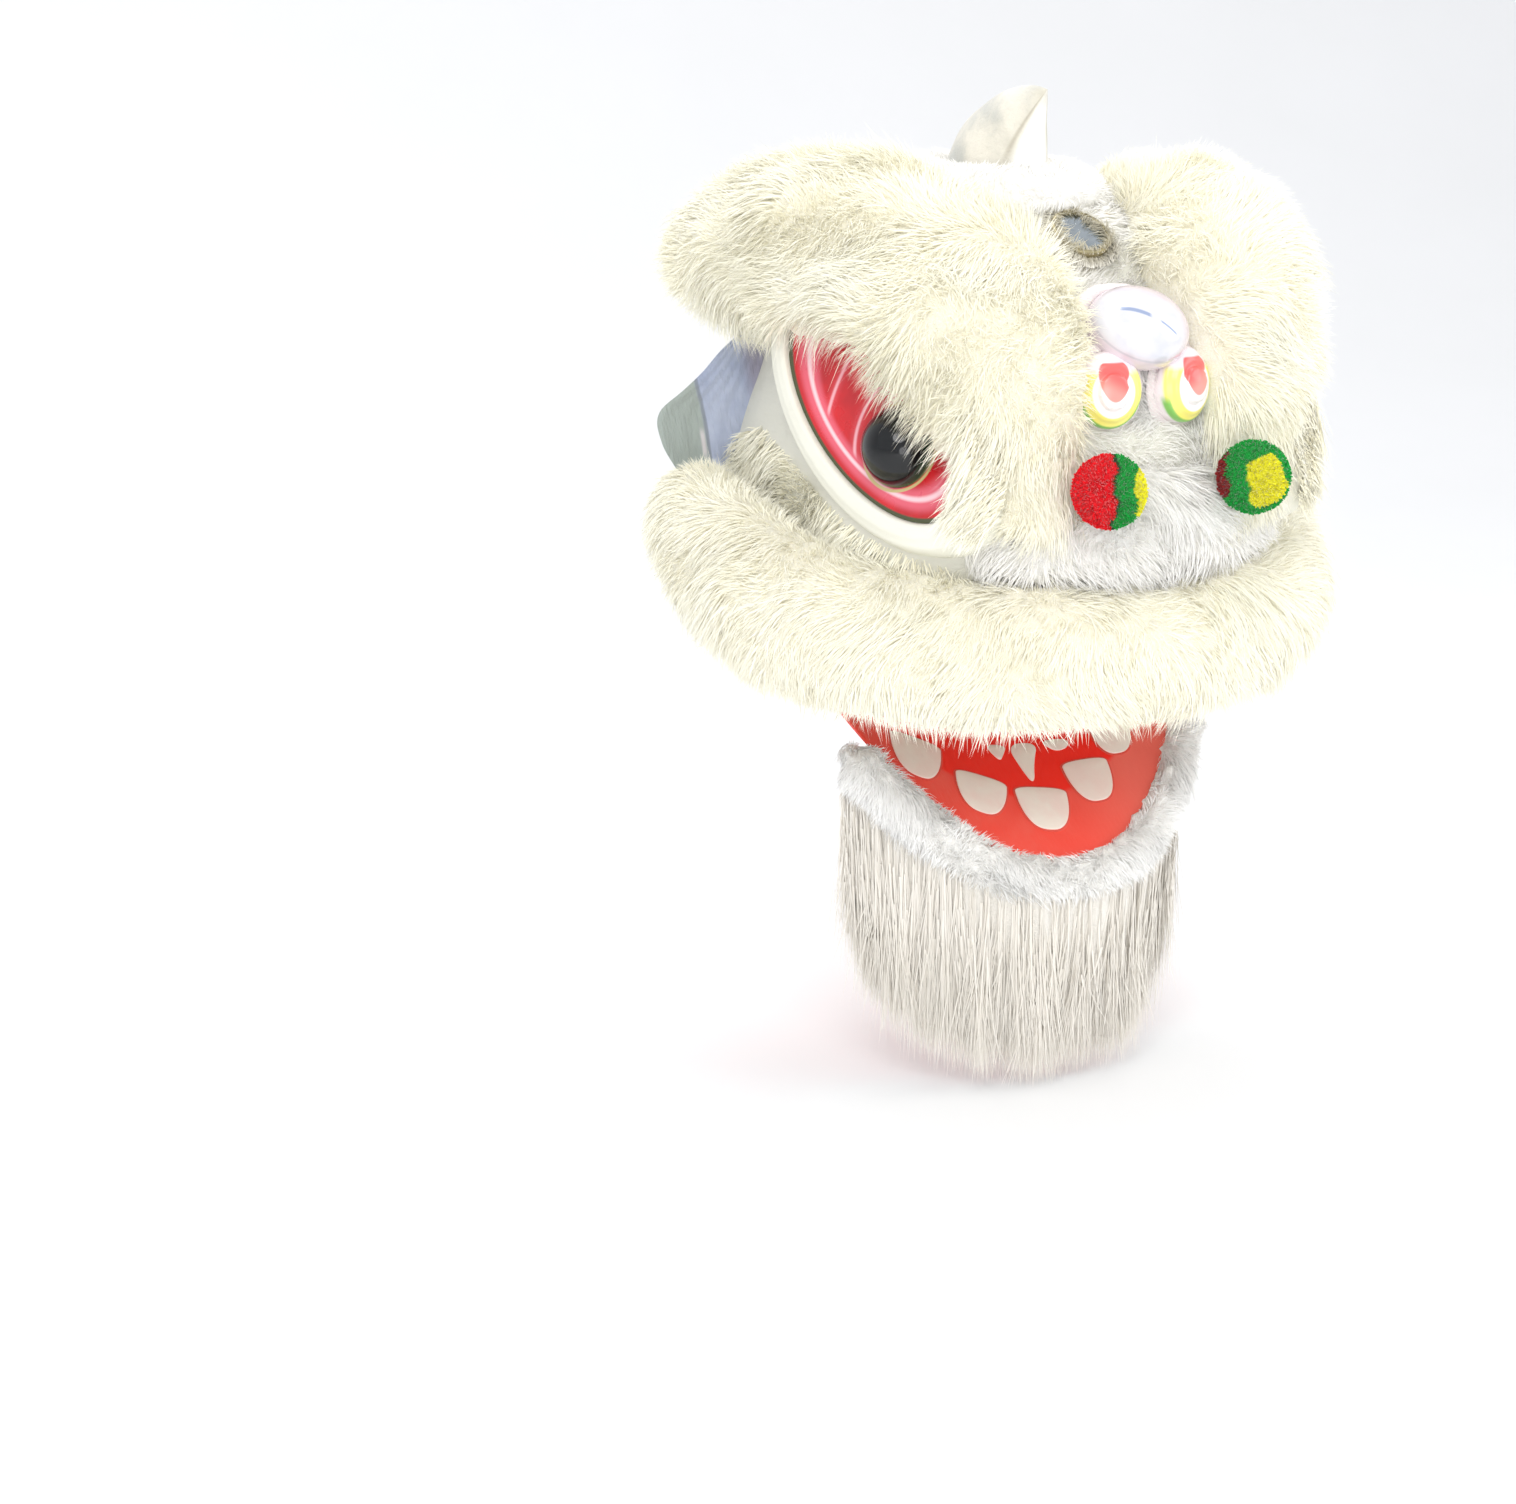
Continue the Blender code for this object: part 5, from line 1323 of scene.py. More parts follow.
def beard_coat():
    """A thin fluted curtain that the outer hair hangs over."""
    columns, levels = 241, np.linspace(0, 1, 14)
    side, ahead, _, top, bottom, thick = through(BEARD_PATH, columns).T
    away = unit(np.stack([side, ahead + 0.30, 0 * side], axis=1)) * (1, -1, 0)
    flute = 0.78 + 0.05 * np.sin(np.arange(columns) * 0.37) + 0.04 * np.sin(np.arange(columns) * 1.1 + 1)
    short = bottom + 0.060 + 0.012 * np.sin(np.arange(columns) * 0.8) + 0.010 * np.sin(np.arange(columns) * 1.9)
    base = np.stack([side, NOSE[1] - ahead, NOSE[2] + 0 * side], axis=1)
    front, back = [], []
    for level in levels:
        height = (top + (short - top) * level)[:, None] * (0, 0, 1)
        swell = (thick * flute * (1 - 0.75 * level**2))[:, None]
        narrow = base * (1 - 0.13 * level, 1, 1)
        front.append(narrow + height + away * swell)
        back.append(narrow + height - away * swell * 0.8)
    tip = base * (0.87, 1, 1) + (short - 0.006)[:, None] * (0, 0, 1)
    head = base + (top + 0.004)[:, None] * (0, 0, 1)
    loop = np.array([head] + front + [tip] + back[::-1])
    shape = Shape()
    shape.loft(np.transpose(loop, (1, 0, 2)))
    placed(shape.make("beard_coat", BEARD_UNDERCOAT), "beard", "jaw")


beard_hair()
beard_coat()


# Shell


def shell_points(rows, grow=0.0, sides=144):
    angle = turns(sides)
    q = 2 / SHELL_SQUARENESS
    across = np.sign(np.cos(angle)) * np.abs(np.cos(angle)) ** q
    along = np.sign(np.sin(angle)) * np.abs(np.sin(angle)) ** q
    made = []
    for above, half_width, front, widest, back in rows:
        depth = np.where(along > 0, front - widest, widest - back)
        ahead = widest + (depth + grow) * along
        made.append(np.stack([(half_width + grow) * across, NOSE[1] - ahead, 0 * across + NOSE[2] + above], axis=1))
    return np.array(made)


def shell_rows(count=70):
    """Rows from the crown to the rim, with a rounded crown."""
    rows = through(SHELL_ROWS, count)
    top = SHELL_ROWS[0]
    dome = []
    for share in (0.05, 0.3, 0.55, 0.8):
        dome.append((
            CROWN[0] - (CROWN[0] - top[0]) * share**2, top[1] * share,
            CROWN[1] + (top[2] - CROWN[1]) * share, CROWN[1], CROWN[1] + (top[4] - CROWN[1]) * share,
        ))
    return np.vstack([dome, rows])


def eye_cutter(name, side):
    shape = Shape()
    shape.loft([eye_ring(side, turns(96), 0.001, level) for level in (0.02, -0.10)])
    return shape.make(name)


def cut(obj, *cutters):
    """Cuts an object, applies its modifiers and takes the cutters away."""
    for cutter in cutters:
        step = obj.modifiers.new(cutter.name, "BOOLEAN")
        step.operation = "DIFFERENCE"
        step.object = cutter
    bpy.context.view_layer.update()
    done = bpy.data.meshes.new_from_object(obj.evaluated_get(bpy.context.evaluated_depsgraph_get()))
    obj.modifiers.clear()
    obj.data = done
    for cutter in cutters:
        bpy.data.objects.remove(cutter, do_unlink=True)


def head_shell():
    shape = Shape()
    points = shell_points(shell_rows())
    shape.grid(points, wrap=True, caps=(True, False))
    shell = shape.make("head_shell_paper", SHELL_PAPER, INSIDE_PAPER)
    body = bmesh.new()
    body.from_mesh(shell.data)
    every = body.verts[:] + body.edges[:] + body.faces[:]
    bmesh.ops.bisect_plane(body, geom=every, plane_co=REAR_EDGE, plane_no=REAR_WAY, clear_outer=True)
    highest = max(body.faces, key=lambda f: f.calc_center_median().z)
    if highest.normal.z < 0:
        bmesh.ops.reverse_faces(body, faces=body.faces[:])
    body.to_mesh(shell.data)
    body.free()
    wall = shell.modifiers.new("wall", "SOLIDIFY")
    wall.thickness = WALL
    wall.offset = -1
    wall.material_offset = 1
    cut(shell, eye_cutter("cut_right", -1), eye_cutter("cut_left", 1))
    for polygon in shell.data.polygons:
        polygon.use_smooth = True
    placed(shell, "head_shell", sharp=50)


head_shell()


def runs(path, keep):
    """The unbroken stretches of a path where keep is true."""
    found, current = [], []
    for place, kept in zip(path, keep):
        if kept:
            current.append(place)
        elif current:
            found.append(np.array(current))
            current = []
    return [run for run in found + [np.array(current)] if len(run) > 3]


HOOP_LEVELS, RIB_DEGREES = (0.065, -0.195, -0.335), (90, 62, 118, 20, 160, 352, 188)
RIB_HALF, TAPE_HALF = 0.0038, 0.0042


def shell_frame():
    """Split bamboo hoops and ribs tied inside the paper, and cloth tape folded over the rear edge."""
    shape = Shape()
    rows = shell_rows(90)
    inside = shell_points(rows, -WALL - 0.003, 180)  # A point every 2 degrees
    hoops = [inside[int(np.argmin(np.abs(rows[:, 0] - level)))] for level in HOOP_LEVELS]
    paths = [np.vstack([hoop, hoop[:1]])[np.r_[135:181, 0:136]] for hoop in hoops]
    paths += [inside[:, degrees // 2] for degrees in RIB_DEGREES]
    for path in paths:
        keep = ~behind_rear(path, 0.006) & ~in_eye(path, 0.010, 0.01)
        for run in runs(path, keep):
            tube(shape, run, RIB_HALF, 8)
    placed(shape.make("head_shell_ribs", RATTAN), "head_shell")
    edge = []
    for ring in shell_points(shell_rows(160), -WALL / 2, 720):
        half = ring[ring[:, 0] > 0]
        half = half[np.argsort(half[:, 1])]
        off = (half - REAR_EDGE) @ REAR_WAY
        if off[-1] > 0 > off[0]:
            k = int(np.argmax(off > 0))
            share = off[k - 1] / (off[k - 1] - off[k])
            edge.append(half[k - 1] + (half[k] - half[k - 1]) * share)
    edge = np.array(edge)
    shape = Shape()
    tube(shape, np.vstack([edge[::-1] * (-1, 1, 1), edge]), TAPE_HALF)
    placed(shape.make("head_shell_tape", RIM_TAPE), "head_shell")


# Short fur over the crown, down the forehead, round the nose and on the cheeks


def between_brows(points):
    _, above = from_face(points)
    wide = np.interp(above, (0.015, 0.03, 0.05, 0.08, 0.11), (0.045, 0.062, 0.080, 0.110, 0.200))
    glass = in_ball(points, MIRROR_MIDDLE, MIRROR_RADIUS + 0.004)
    return (above > 0.018) & (np.abs(points[:, 0]) < wide) & ~glass


def mirror_fringe(hair):
    """Hair that leans over the mirror's frame from all round it."""
    draw, n, out = hair.draw, amount(4200), MIRROR_OUT
    right, up = np.array((1.0, 0, 0)), np.cross(out, (1.0, 0, 0))
    turn = draw.uniform(0, 2 * math.pi, n)
    radial = np.cos(turn)[:, None] * right + np.sin(turn)[:, None] * up
    reach = MIRROR_RADIUS + 0.001 + 0.018 * draw.random(n)
    level = np.where(reach < MIRROR_RADIUS + 0.007, 0.001, -0.006)
    roots = MIRROR_MIDDLE + radial * reach[:, None] + out * level[:, None]
    way = unit(out * 0.50 - radial * (0.55 + 0.5 * np.sin(turn * 3)[:, None]) + draw.normal(scale=0.35, size=(n, 3)))
    size = 0.014 * (0.5 + 0.8 * draw.random(n)) * (1 + 0.35 * np.sin(turn * 2 + 1))
    lines = bent(roots, way, -(radial * 0.20 + out * 0.25), size)
    lines = clumped(lines, roots, 0.008, 0.6 * draw.random(n), 59)
    hair.grow(lines, np.repeat(out[None], n, axis=0), np.full(n, 0.0009), (0.3, 0.9))


def round_nose(points):
    ahead, above = from_face(points)
    wide = np.abs(points[:, 0]) < 0.165
    return wide & (above > -0.215) & (above < 0.020) & (ahead > -0.12) & ~in_eye(points, SOCKET_WIDTH + 0.004, 0.05)


def nose_tuft(hair):
    """Hair that stands out between the nostrils."""
    draw, n = hair.draw, amount(3600)
    roots = from_nose(0, -0.006, -0.060) + draw.uniform(-1, 1, (n, 3)) * (0.016, 0.004, 0.040)
    way = unit(np.array((0, -1.0, -0.25)) + draw.normal(scale=0.30, size=(n, 3)))
    lines = bent(roots, way, np.tile((0, 0, -0.25), (n, 1)), 0.034 * (0.6 + 0.4 * draw.random(n)))
    hair.grow(lines, np.repeat([(0.0, -0.5, 0.85)], n, axis=0), np.full(n, 0.0009), (0.5, 1.0))


def cheeks(points):
    ahead, above = from_face(points)
    levels = (-0.150, -0.125, -0.150, -0.185, -0.215, -0.232)
    edge = np.interp(ahead, (-0.42, -0.335, -0.252, -0.168, -0.09, -0.03), levels)
    return (ahead < -0.045) & (above < edge) & (above > -0.30) & ~in_eye(points, SOCKET_WIDTH + 0.001, 0.05)


shell_frame()
SHELL_GRID = shell_points(shell_rows(120), 0.0, 240)
SHELL_GRID = np.concatenate([SHELL_GRID, SHELL_GRID[:, :1]], axis=1)
shell_hair(
    "crown_hair", 451, CROWN_FUR, "white_fur", 200000, 0.016, 0.0009, between_brows, mirror_fringe,
    stand=0.8, fall=0.35, spread=0.25, mess=0.45, cell=0.010, pull=0.45, tint=(0.35, 1.0),
)
shell_hair(
    "face_fluff_hair", 461, WHITE_FUR, "white_fur", 260000, 0.013, 0.0009, round_nose, nose_tuft,
    stand=0.8, fall=0.5, spread=0.2, mess=0.5, cell=0.009, pull=0.4, tint=(0.35, 1.0),
)
shell_hair(
    "cheek_fluff_hair", 471, CREAM_FUR, "cream_fur", 230000, 0.019, 0.0010, cheeks,
    stand=0.75, fall=0.7, spread=0.3, mess=0.4, cell=0.012, pull=0.25, tint=(0.25, 1.0),
)


# Eyes


def eye_socket(word, side):
    """A hoop with a rounded lip, a soft crown and a turned-in edge."""
    angle = turns(128)
    outline = [(0.0, -0.042), (0.0, -0.020), (0.001, -0.006), (0.03, -0.0015)]
    profile = through([(share, level, 0.0) for share, level in SOCKET_PROFILE], 14)
    outline += [(0.10, 0.0004)] + [(row[0], row[1]) for row in profile]
    outline += [(0.80, -0.086), (0.3, -0.086)]
    rings = []
    for share, level in outline:
        wobble = 0.0012 * np.sin(angle * 3 + share * 2) * (share > 0.3)
        grow = SOCKET_WIDTH * share + wobble
        rings.append(eye_ring(side, angle, grow, level))
    shape = Shape()
    rings.append(rings[0])
    shape.grid(np.array(rings), wrap=True)
    placed(shape.make(f"eye_socket_{word}_rim", SOCKET_PAPER), f"eye_socket_{word}", sharp=60)


def eye_panel(word, side):
    shares = np.linspace(0.0, 1.0, 22)[1:]
    angle = turns(128)
    rings, uv = [], []
    long, short = EYE_LONG - GAP, EYE_SHORT - GAP
    for under in (0.0, DISH_THICK):
        for share in shares if under == 0 else shares[::-1]:
            along, across = long * share * np.cos(angle), short * share * np.sin(angle)
            deep = DISH_DEPTH * (1 - share**2) + 0.006 + under
            rings.append(from_eye(side, along, across, 0 * angle - deep))
            uv.append(np.stack([along, across], axis=1))
    shape = Shape()
    shape.loft(rings, uv)
    # The back is bare paper.
    columns, half = len(angle), len(shares)
    shape.slots[half * columns:(2 * half - 1) * columns] = [1] * ((half - 1) * columns)
    shape.slots[-columns:] = [1] * columns
    placed(shape.make(f"eye_panel_{word}_dish", EYE_LACQUER, INSIDE_PAPER), f"eye_panel_{word}", sharp=50)


def pupil(word, side):
    middle, back, up, out = eye_axes(side)
    angle = turns(96)
    low = -DISH_DEPTH - 0.012
    rise = PUPIL_PROUD - low
    rings, uv = [], []
    for share in np.sin(np.linspace(0, 1, 26) * math.pi / 2 * 0.995):
        radius = PUPIL_RADIUS * math.sqrt(1 - share**2)
        x, y = radius * np.cos(angle), radius * np.sin(angle)
        across, along = (x + PUPIL_SHIFT[0])[:, None] * back, (y + PUPIL_SHIFT[1])[:, None] * up
        rings.append(middle + across + along + (low + rise * share) * out)
        uv.append(np.stack([x, y], axis=1))
    shape = Shape()
    shape.loft(rings, uv)
    # The back is bare paper.
    columns = len(angle)
    shape.slots[:columns] = shape.slots[-2 * columns:-columns] = [1] * columns
    placed(shape.make(f"pupil_{word}_dome", PUPIL_GLOSS, INSIDE_PAPER), f"pupil_{word}", sharp=50)


# Nose


def ball(rows=48, columns=72):
    """Points of a ball of radius 1 in rings round -Y."""
    polar = np.linspace(0.01, math.pi - 0.01, rows)[:, None]
    turn = turns(columns)[None, :]
    x, y, z = np.sin(polar) * np.cos(turn), -np.cos(polar) + 0 * turn, np.sin(polar) * np.sin(turn)
    return np.stack([x, y, z], axis=-1)


def nose_bulb():
    turn = Matrix.Rotation(BULB_TILT, 3, "X")
    points = (ball() * BULB_HALF) @ np.array(turn).T + NOSE
    points = onto_shell(points.reshape(-1, 3), 0.003).reshape(points.shape)
    shape = Shape()
    off = points - NOSE
    uv = np.stack([off @ VIEW_RIGHT, off @ VIEW_UP], axis=-1) * 10
    uv[off @ VIEW_BACK < 0] = (0.0, 5.0)
    shape.loft(points, uv)
    placed(shape.make("nose_bulb_pearl", NOSE_PEARL), "nose_bulb")


def nostril(word, side):
    """An oval button with a raised heart, a groove round it and a rolled flange."""
    ways = ball(64, 96)
    flat = np.sqrt(ways[..., 0] ** 2 + (ways[..., 2] - 0.06) ** 2)
    front = ways[..., 1] < 0
    relief = 0.0022 * np.exp(-((flat - 0.92) / 0.07) ** 2) - 0.0030 * np.exp(-((flat - 0.54) / 0.05) ** 2)
    relief += 0.0016 * np.exp(-((flat - 0.72) / 0.09) ** 2) + 0.0015 * (flat < 0.45)
    points = ways * (NOSTRIL_HALF + (relief * front)[..., None])
    turn = Matrix.Rotation(side * NOSTRIL_TURN, 3, "Z")
    place = on_side(NOSTRIL_PLACE, side)
    shape = Shape()
    uv = ways[..., [0, 2]] * (side, 1)
    points = points @ np.array(turn).T + place
    points = onto_shell(points.reshape(-1, 3), 0.003).reshape(points.shape)
    shape.loft(points, uv)
    placed(shape.make(f"nostril_{word}_button", NOSTRIL_LACQUER), f"nostril_{word}")


def ruffle(name, middle, turn, tilt, half, node, seed):
    """A gathered felt edge that stands out behind a button."""
    angle = np.linspace(0.0, 2 * math.pi, 145)
    out = np.array((math.sin(turn) * math.cos(tilt), -math.cos(turn) * math.cos(tilt), math.sin(tilt)))
    right = unit(np.cross((0, 0, 1.0), -out))
    up = np.cross(right, -out)
    draw = np.random.default_rng(seed)
    wave = sum(np.sin(angle * k + draw.random() * 6.3) / k for k in (7, 11, 17, 23))
    rows = []
    for face in (1, -1):
        levels = ((0.80, -0.004), (1.02, 0.001), (1.14, 0.000), (1.24, -0.003))
        for share, level in levels if face > 0 else levels[::-1]:
            reach = share + 0.20 * wave * max(0.0, share - 1.0)
            lift = level + face * 0.0007 + 0.016 * wave * max(0.0, share - 1.0)
            wide, high = (reach * half[0] * np.cos(angle))[:, None], (reach * half[1] * np.sin(angle))[:, None]
            rows.append(middle + wide * right + high * up + lift[:, None] * out)
    rows.append(rows[0])
    shape = Shape()
    shape.grid(np.array(rows))
    placed(shape.make(name, RUFFLE_FELT), node)


def lathe(profile, middle, axis, sides=72):
    """A turned shape. The profile is (radius, height along the axis)."""
    axis = unit(np.array(axis, float))
    first = unit(np.cross(axis, (1.0, 0.2, 0.0)))
    second = np.cross(axis, first)
    turn = turns(sides)
    rings = [
        middle + height * axis + radius * (np.cos(turn)[:, None] * first + np.sin(turn)[:, None] * second)
        for radius, height in profile
    ]
    shape = Shape()
    shape.loft(rings)
    return shape


def mirror():
    middle, out = MIRROR_MIDDLE, MIRROR_OUT
    r = MIRROR_RADIUS
    glass = [(r, -0.0019), (r, 0.0002), (r - 0.0015, 0.0012), (r * 0.66, 0.0016), (r * 0.33, 0.0018), (0.001, 0.0019)]
    placed(lathe(glass, middle, out).make("mirror_disc", MIRROR_SILVER), "mirror", sharp=40)
    w = FRAME_WIDTH
    rim = [(0.002, -0.0022), (r + 0.0003, -0.0022), (r + 0.0004, 0.0010), (r + 0.0012, 0.0022), (r + w * 0.45, 0.0030)]
    rim += [(r + w * 0.8, 0.0022), (r + w, 0.0005), (r + w, -0.004), (r + w * 0.9, -0.030), (0.002, -0.030)]
    placed(lathe(rim, middle, out).make("mirror_frame_boss", GILT), "mirror_frame", sharp=50)


def horn():
    """A curled horn with a broad rib down its front and soft ribs round it."""
    stations = through([(0.0, *row) for row in HORN_ROWS] + [(0.0, *HORN_TIP, 0.0015, 0.0015)], 40)
    sides = 96
    turn = turns(sides)
    rings, uv = [], []
    rise = unit(np.gradient(stations[:, 1:3], axis=0))
    for k, (_, ahead, above, half_width, half_depth) in enumerate(stations):
        up = np.array((0, -rise[k, 0], rise[k, 1]))
        fore = np.array((0, -up[2], up[1]))
        level = k / (len(stations) - 1)
        off = np.abs((turn - math.pi / 2 + math.pi) % (2 * math.pi) - math.pi)
        rib = 0.0030 * np.exp(-((off / 0.42) ** 4)) * (1 - level) ** 0.3
        folds = 0.0012 * np.sin(level * 20 + np.cos(turn) * 0.8) * smooth(off, 0.5, 0.9) * (1 - level)
        swell = (rib + folds) * min(1.0, half_width / 0.03) - 0.001
        wide, deep = np.maximum(half_width + swell, 0.0006), np.maximum(half_depth + swell, 0.0006)
        centre = from_nose(0, ahead, above)
        rings.append(centre + (wide * np.cos(turn))[:, None] * (1, 0, 0) + (deep * np.sin(turn))[:, None] * fore)
        uv.append(np.stack([off / (2 * math.pi), 0 * off + level], axis=1))
    shape = Shape()
    shape.loft(rings, uv)
    placed(shape.make("horn_felt", HORN_FELT), "horn")


# Pompoms and springs

RED, GREEN, YELLOW = (0.95, 0.006, 0.016), (0.010, 0.42, 0.060), (0.98, 0.92, 0.030)


def dye(ways, side):
    """The colour of each tuft: three bunches of yarn, tied into one ball."""
    across = ways @ VIEW_RIGHT + 0.07 * np.sin(ways[:, 2] * 6) + 0.03 * np.sin(ways[:, 2] * 15)
    colours = np.empty((len(ways), 3))
    colours[:] = GREEN
    if side < 0:
        colours[across < 0.08] = RED
        colours[np.abs(across - 0.10) < 0.04] = (0.03, 0.10, 0.03)
        colours[(across > 0.66) & (np.abs(ways[:, 2]) < 0.62)] = YELLOW
    else:
        patch = ((across - 0.20) / 0.64) ** 2 + (ways[:, 2] / 0.74) ** 2
        colours[(patch < 1) & (across > -0.28) & (ways @ VIEW_BACK > 0)] = YELLOW
        colours[across < -0.80] = (0.30, 0.02, 0.02)
    return colours


def pompom(word, side):
    """Cut yarn standing out all round the ball, over a felted core."""
    draw = np.random.default_rng(700 + side)
    middle = on_side(POMPOM_PLACE, side)
    n = amount(9600)
    k = np.arange(n) + 0.5
    polar, turn = np.arccos(1 - 2 * k / n), k * math.pi * (1 + 5**0.5)
    ways = np.stack([np.sin(polar) * np.cos(turn), np.sin(polar) * np.sin(turn), np.cos(polar)], axis=1)
    loose = unit(ways + draw.normal(scale=0.05, size=(n, 3)))
    tip = POMPOM_RADIUS * (0.985 + 0.02 * draw.normal(size=n))
    root = POMPOM_RADIUS * 0.80
    side_way = unit(np.cross(loose, draw.normal(size=(n, 3))))
    half = 0.0010 * (0.8 + 0.4 * draw.random(n))[:, None] * side_way
    low, high = middle + ways * root, middle + loose * tip[:, None]
    points = np.stack([low - half, low + half, high + half * 0.9, high - half * 0.9], axis=1)
    start = np.arange(n)[:, None, None] * 4
    triangles = (start + np.array([(0, 1, 2), (0, 2, 3)])[None]).reshape(-1, 3)
    colours = np.repeat(dye(loose, side) * (0.90 + 0.2 * draw.random(n))[:, None], 4, axis=0)
    # Painted shade: the yarn darkens towards its roots, deep in the ball.
    for corner in (0, 1):
        colours[corner::4] *= 0.88  # The roots are darker.
    colours = np.clip(colours, 0, 1)
    yarn = hair_mesh(f"pompom_{word}_yarn", points.reshape(-1, 3), np.ones(4 * n), triangles, WOOL, colours)
    placed(yarn, f"pompom_{word}")
    ways = ball(40, 60)
    flat = ways.reshape(-1, 3)
    bumps = 1 + 0.025 * ripple(flat * 0.04, 0.006, 81) + 0.02 * ripple(flat * 0.04, 0.003, 82)
    shape = Shape()
    shape.loft(middle + (flat * bumps[:, None]).reshape(ways.shape) * (POMPOM_RADIUS * 0.93))
    core = shape.make(f"pompom_{word}_core", WOOL, weld=False)
    spots = np.array([v.co for v in core.data.vertices]) - middle
    # Painted shade: the core under the yarn is dyed darker.
    dyed(core.data, dye(unit(spots), side) * 0.75)
    placed(core, f"pompom_{word}")


def spring(word, side):
    foot = on_side(SPRING_FOOT, side)
    middle = on_side(POMPOM_PLACE, side)
    rise = unit(middle - foot)
    across = np.array(Vector(rise).orthogonal().normalized())
    beside = np.cross(rise, across)
    end = np.linalg.norm(middle - foot) - POMPOM_RADIUS + 0.010
    steps = SPRING_TURNS * 24
    path = [foot - rise * 0.004, foot + rise * 0.004]
    for i in range(steps + 1):
        turn = 2 * math.pi * i / 24
        place = SPRING_LEAD + (end - 2 * SPRING_LEAD - 0.006) * i / steps
        swell = SPRING_RADIUS * min(1.0, i / 10, (steps - i) / 10)
        path.append(foot + rise * place + swell * (across * math.cos(turn) + beside * math.sin(turn)))
    path.append(foot + rise * end)
    shape = Shape()
    tube(shape, path, WIRE_RADIUS)
    placed(shape.make(f"pompom_spring_{word}_wire", BRASS), f"pompom_spring_{word}")


# Ears


def ear(word, side):
    """A cupped satin leaf with creases down it and a turned hem."""
    rise = facing(EAR_LEAN, side)
    across = facing(EAR_ACROSS, side)
    front = np.cross(across, rise) * side
    front = front if front[1] < 0 else -front
    foot = on_side(EAR_FOOT, side)
    rows = through([(share, 0.0, 0.0, half_width, set_out) for share, half_width, set_out in EAR_ROWS], 60)
    columns = 40
    place = np.linspace(-1, 1, columns)
    skins = []
    for under in (0.5, -0.5):
        skin, uv = [], []
        for share, _, _, half_width, set_out in rows:
            half_width = max(half_width, 0.004)
            offset = half_width * place + set_out
            cup = EAR_CUP * (1 - place**2) * math.sin(math.pi * min(1.0, share + 0.25))
            crease = 0.0012 * np.sin(place * 9 + share * 3) * (1 - share) + 0.0008 * np.sin(place * 21 + share * 5)
            hem = 0.0009 * smooth(np.abs(place), 0.84, 0.90)
            off = front * (-cup + crease + under * (EAR_THICK + 2 * hem))[:, None]
            skin.append(foot + rise * EAR_HEIGHT * share + across * offset[:, None] + off)
            uv.append(np.stack([offset * 10, 0 * place + share], axis=1))
        skins.append((np.array(skin), np.array(uv)))
    loop = np.concatenate([skins[0][0], skins[1][0][:, ::-1]], axis=1)
    loop_uv = np.concatenate([skins[0][1], skins[1][1][:, ::-1]], axis=1)
    shape = Shape()
    shape.loft(loop, loop_uv)
    placed(shape.make(f"ear_{word}_satin", SATIN), f"ear_{word}", sharp=50)


# Jaw board and teeth


def jaw_board():
    """The painted spoon with a rounded edge, and its two arms."""
    place = np.sin(np.linspace(-1, 1, 61) * math.pi / 2)
    shape = Shape()
    top, under, uv = [], [], []
    for along, _, _, half_width in JAW_WIDTH:
        x = place * half_width
        edge = smooth(np.abs(place), 0.985, 1.0)
        top.append(jaw_point(x, along + 0 * x, -0.0012 * edge))
        under.append(jaw_point(x, along + 0 * x, -JAW_THICK + 0.0012 * edge))
        uv.append(np.stack([x, along + 0 * x], axis=1))
    loop = np.concatenate([np.array(top), np.array(under)[:, ::-1]], axis=1)
    loop_uv = np.concatenate([np.array(uv), np.array(uv)[:, ::-1]], axis=1)
    shape.loft(loop, loop_uv)
    for side in (-1, 1):
        corner = jaw_point(ARM_MIDDLE, JAW_ROWS[-1][0] - ARM_FOOT_BACK)
        first = np.array((NOSE[1] - corner[1], corner[2] - NOSE[2]))
        second = np.array(HINGE)
        along = unit(second - first)
        across = np.array((-along[1], along[0]))
        outline = []
        for centre, start in ((second, 0), (first, math.pi)):
            for t in start - math.pi / 2 + np.linspace(0, math.pi, 17):
                outline.append(centre + ARM_HALF * (along * math.cos(t) + across * math.sin(t)))
        outline = np.array(outline)
        rings = []
        for x, inset in ((-1, 0.0012), (-0.72, 0.0), (0.72, 0.0), (1, 0.0012)):
            ring = outline + (outline.mean(axis=0) - outline) * (inset / ARM_HALF * 0.4)
            level = side * (ARM_MIDDLE + x * ARM_THICK / 2)
            rings.append(np.stack([level + 0 * ring[:, 0], NOSE[1] - ring[:, 0], NOSE[2] + ring[:, 1]], axis=1))
        shape.loft(rings)
    placed(shape.make("jaw_board_painted", JAW_GLOSS), "jaw_board", "jaw", 40)


# Each lower tooth: middle sideways, middle of its flat side up the slope, half width, length and turn in degrees.
TEETH = (
    (0.003, 0.084, 0.030, 0.051, 12),
    (-0.062, 0.108, 0.030, 0.048, 24),
    (0.069, 0.108, 0.026, 0.050, 4),
    (-0.124, 0.160, 0.031, 0.052, 22),
    (0.116, 0.151, 0.022, 0.042, 6),
)
# Brushed shapes in the throat
FLECKS = (
    ((-0.008, 0.152), (0.030, 0.148), (0.014, 0.124), (0.001, 0.094), (-0.005, 0.118)),
    ((-0.036, 0.155), (-0.008, 0.150), (-0.018, 0.138), (-0.026, 0.130)),
    ((0.032, 0.150), (0.066, 0.146), (0.062, 0.134), (0.044, 0.132)),
)


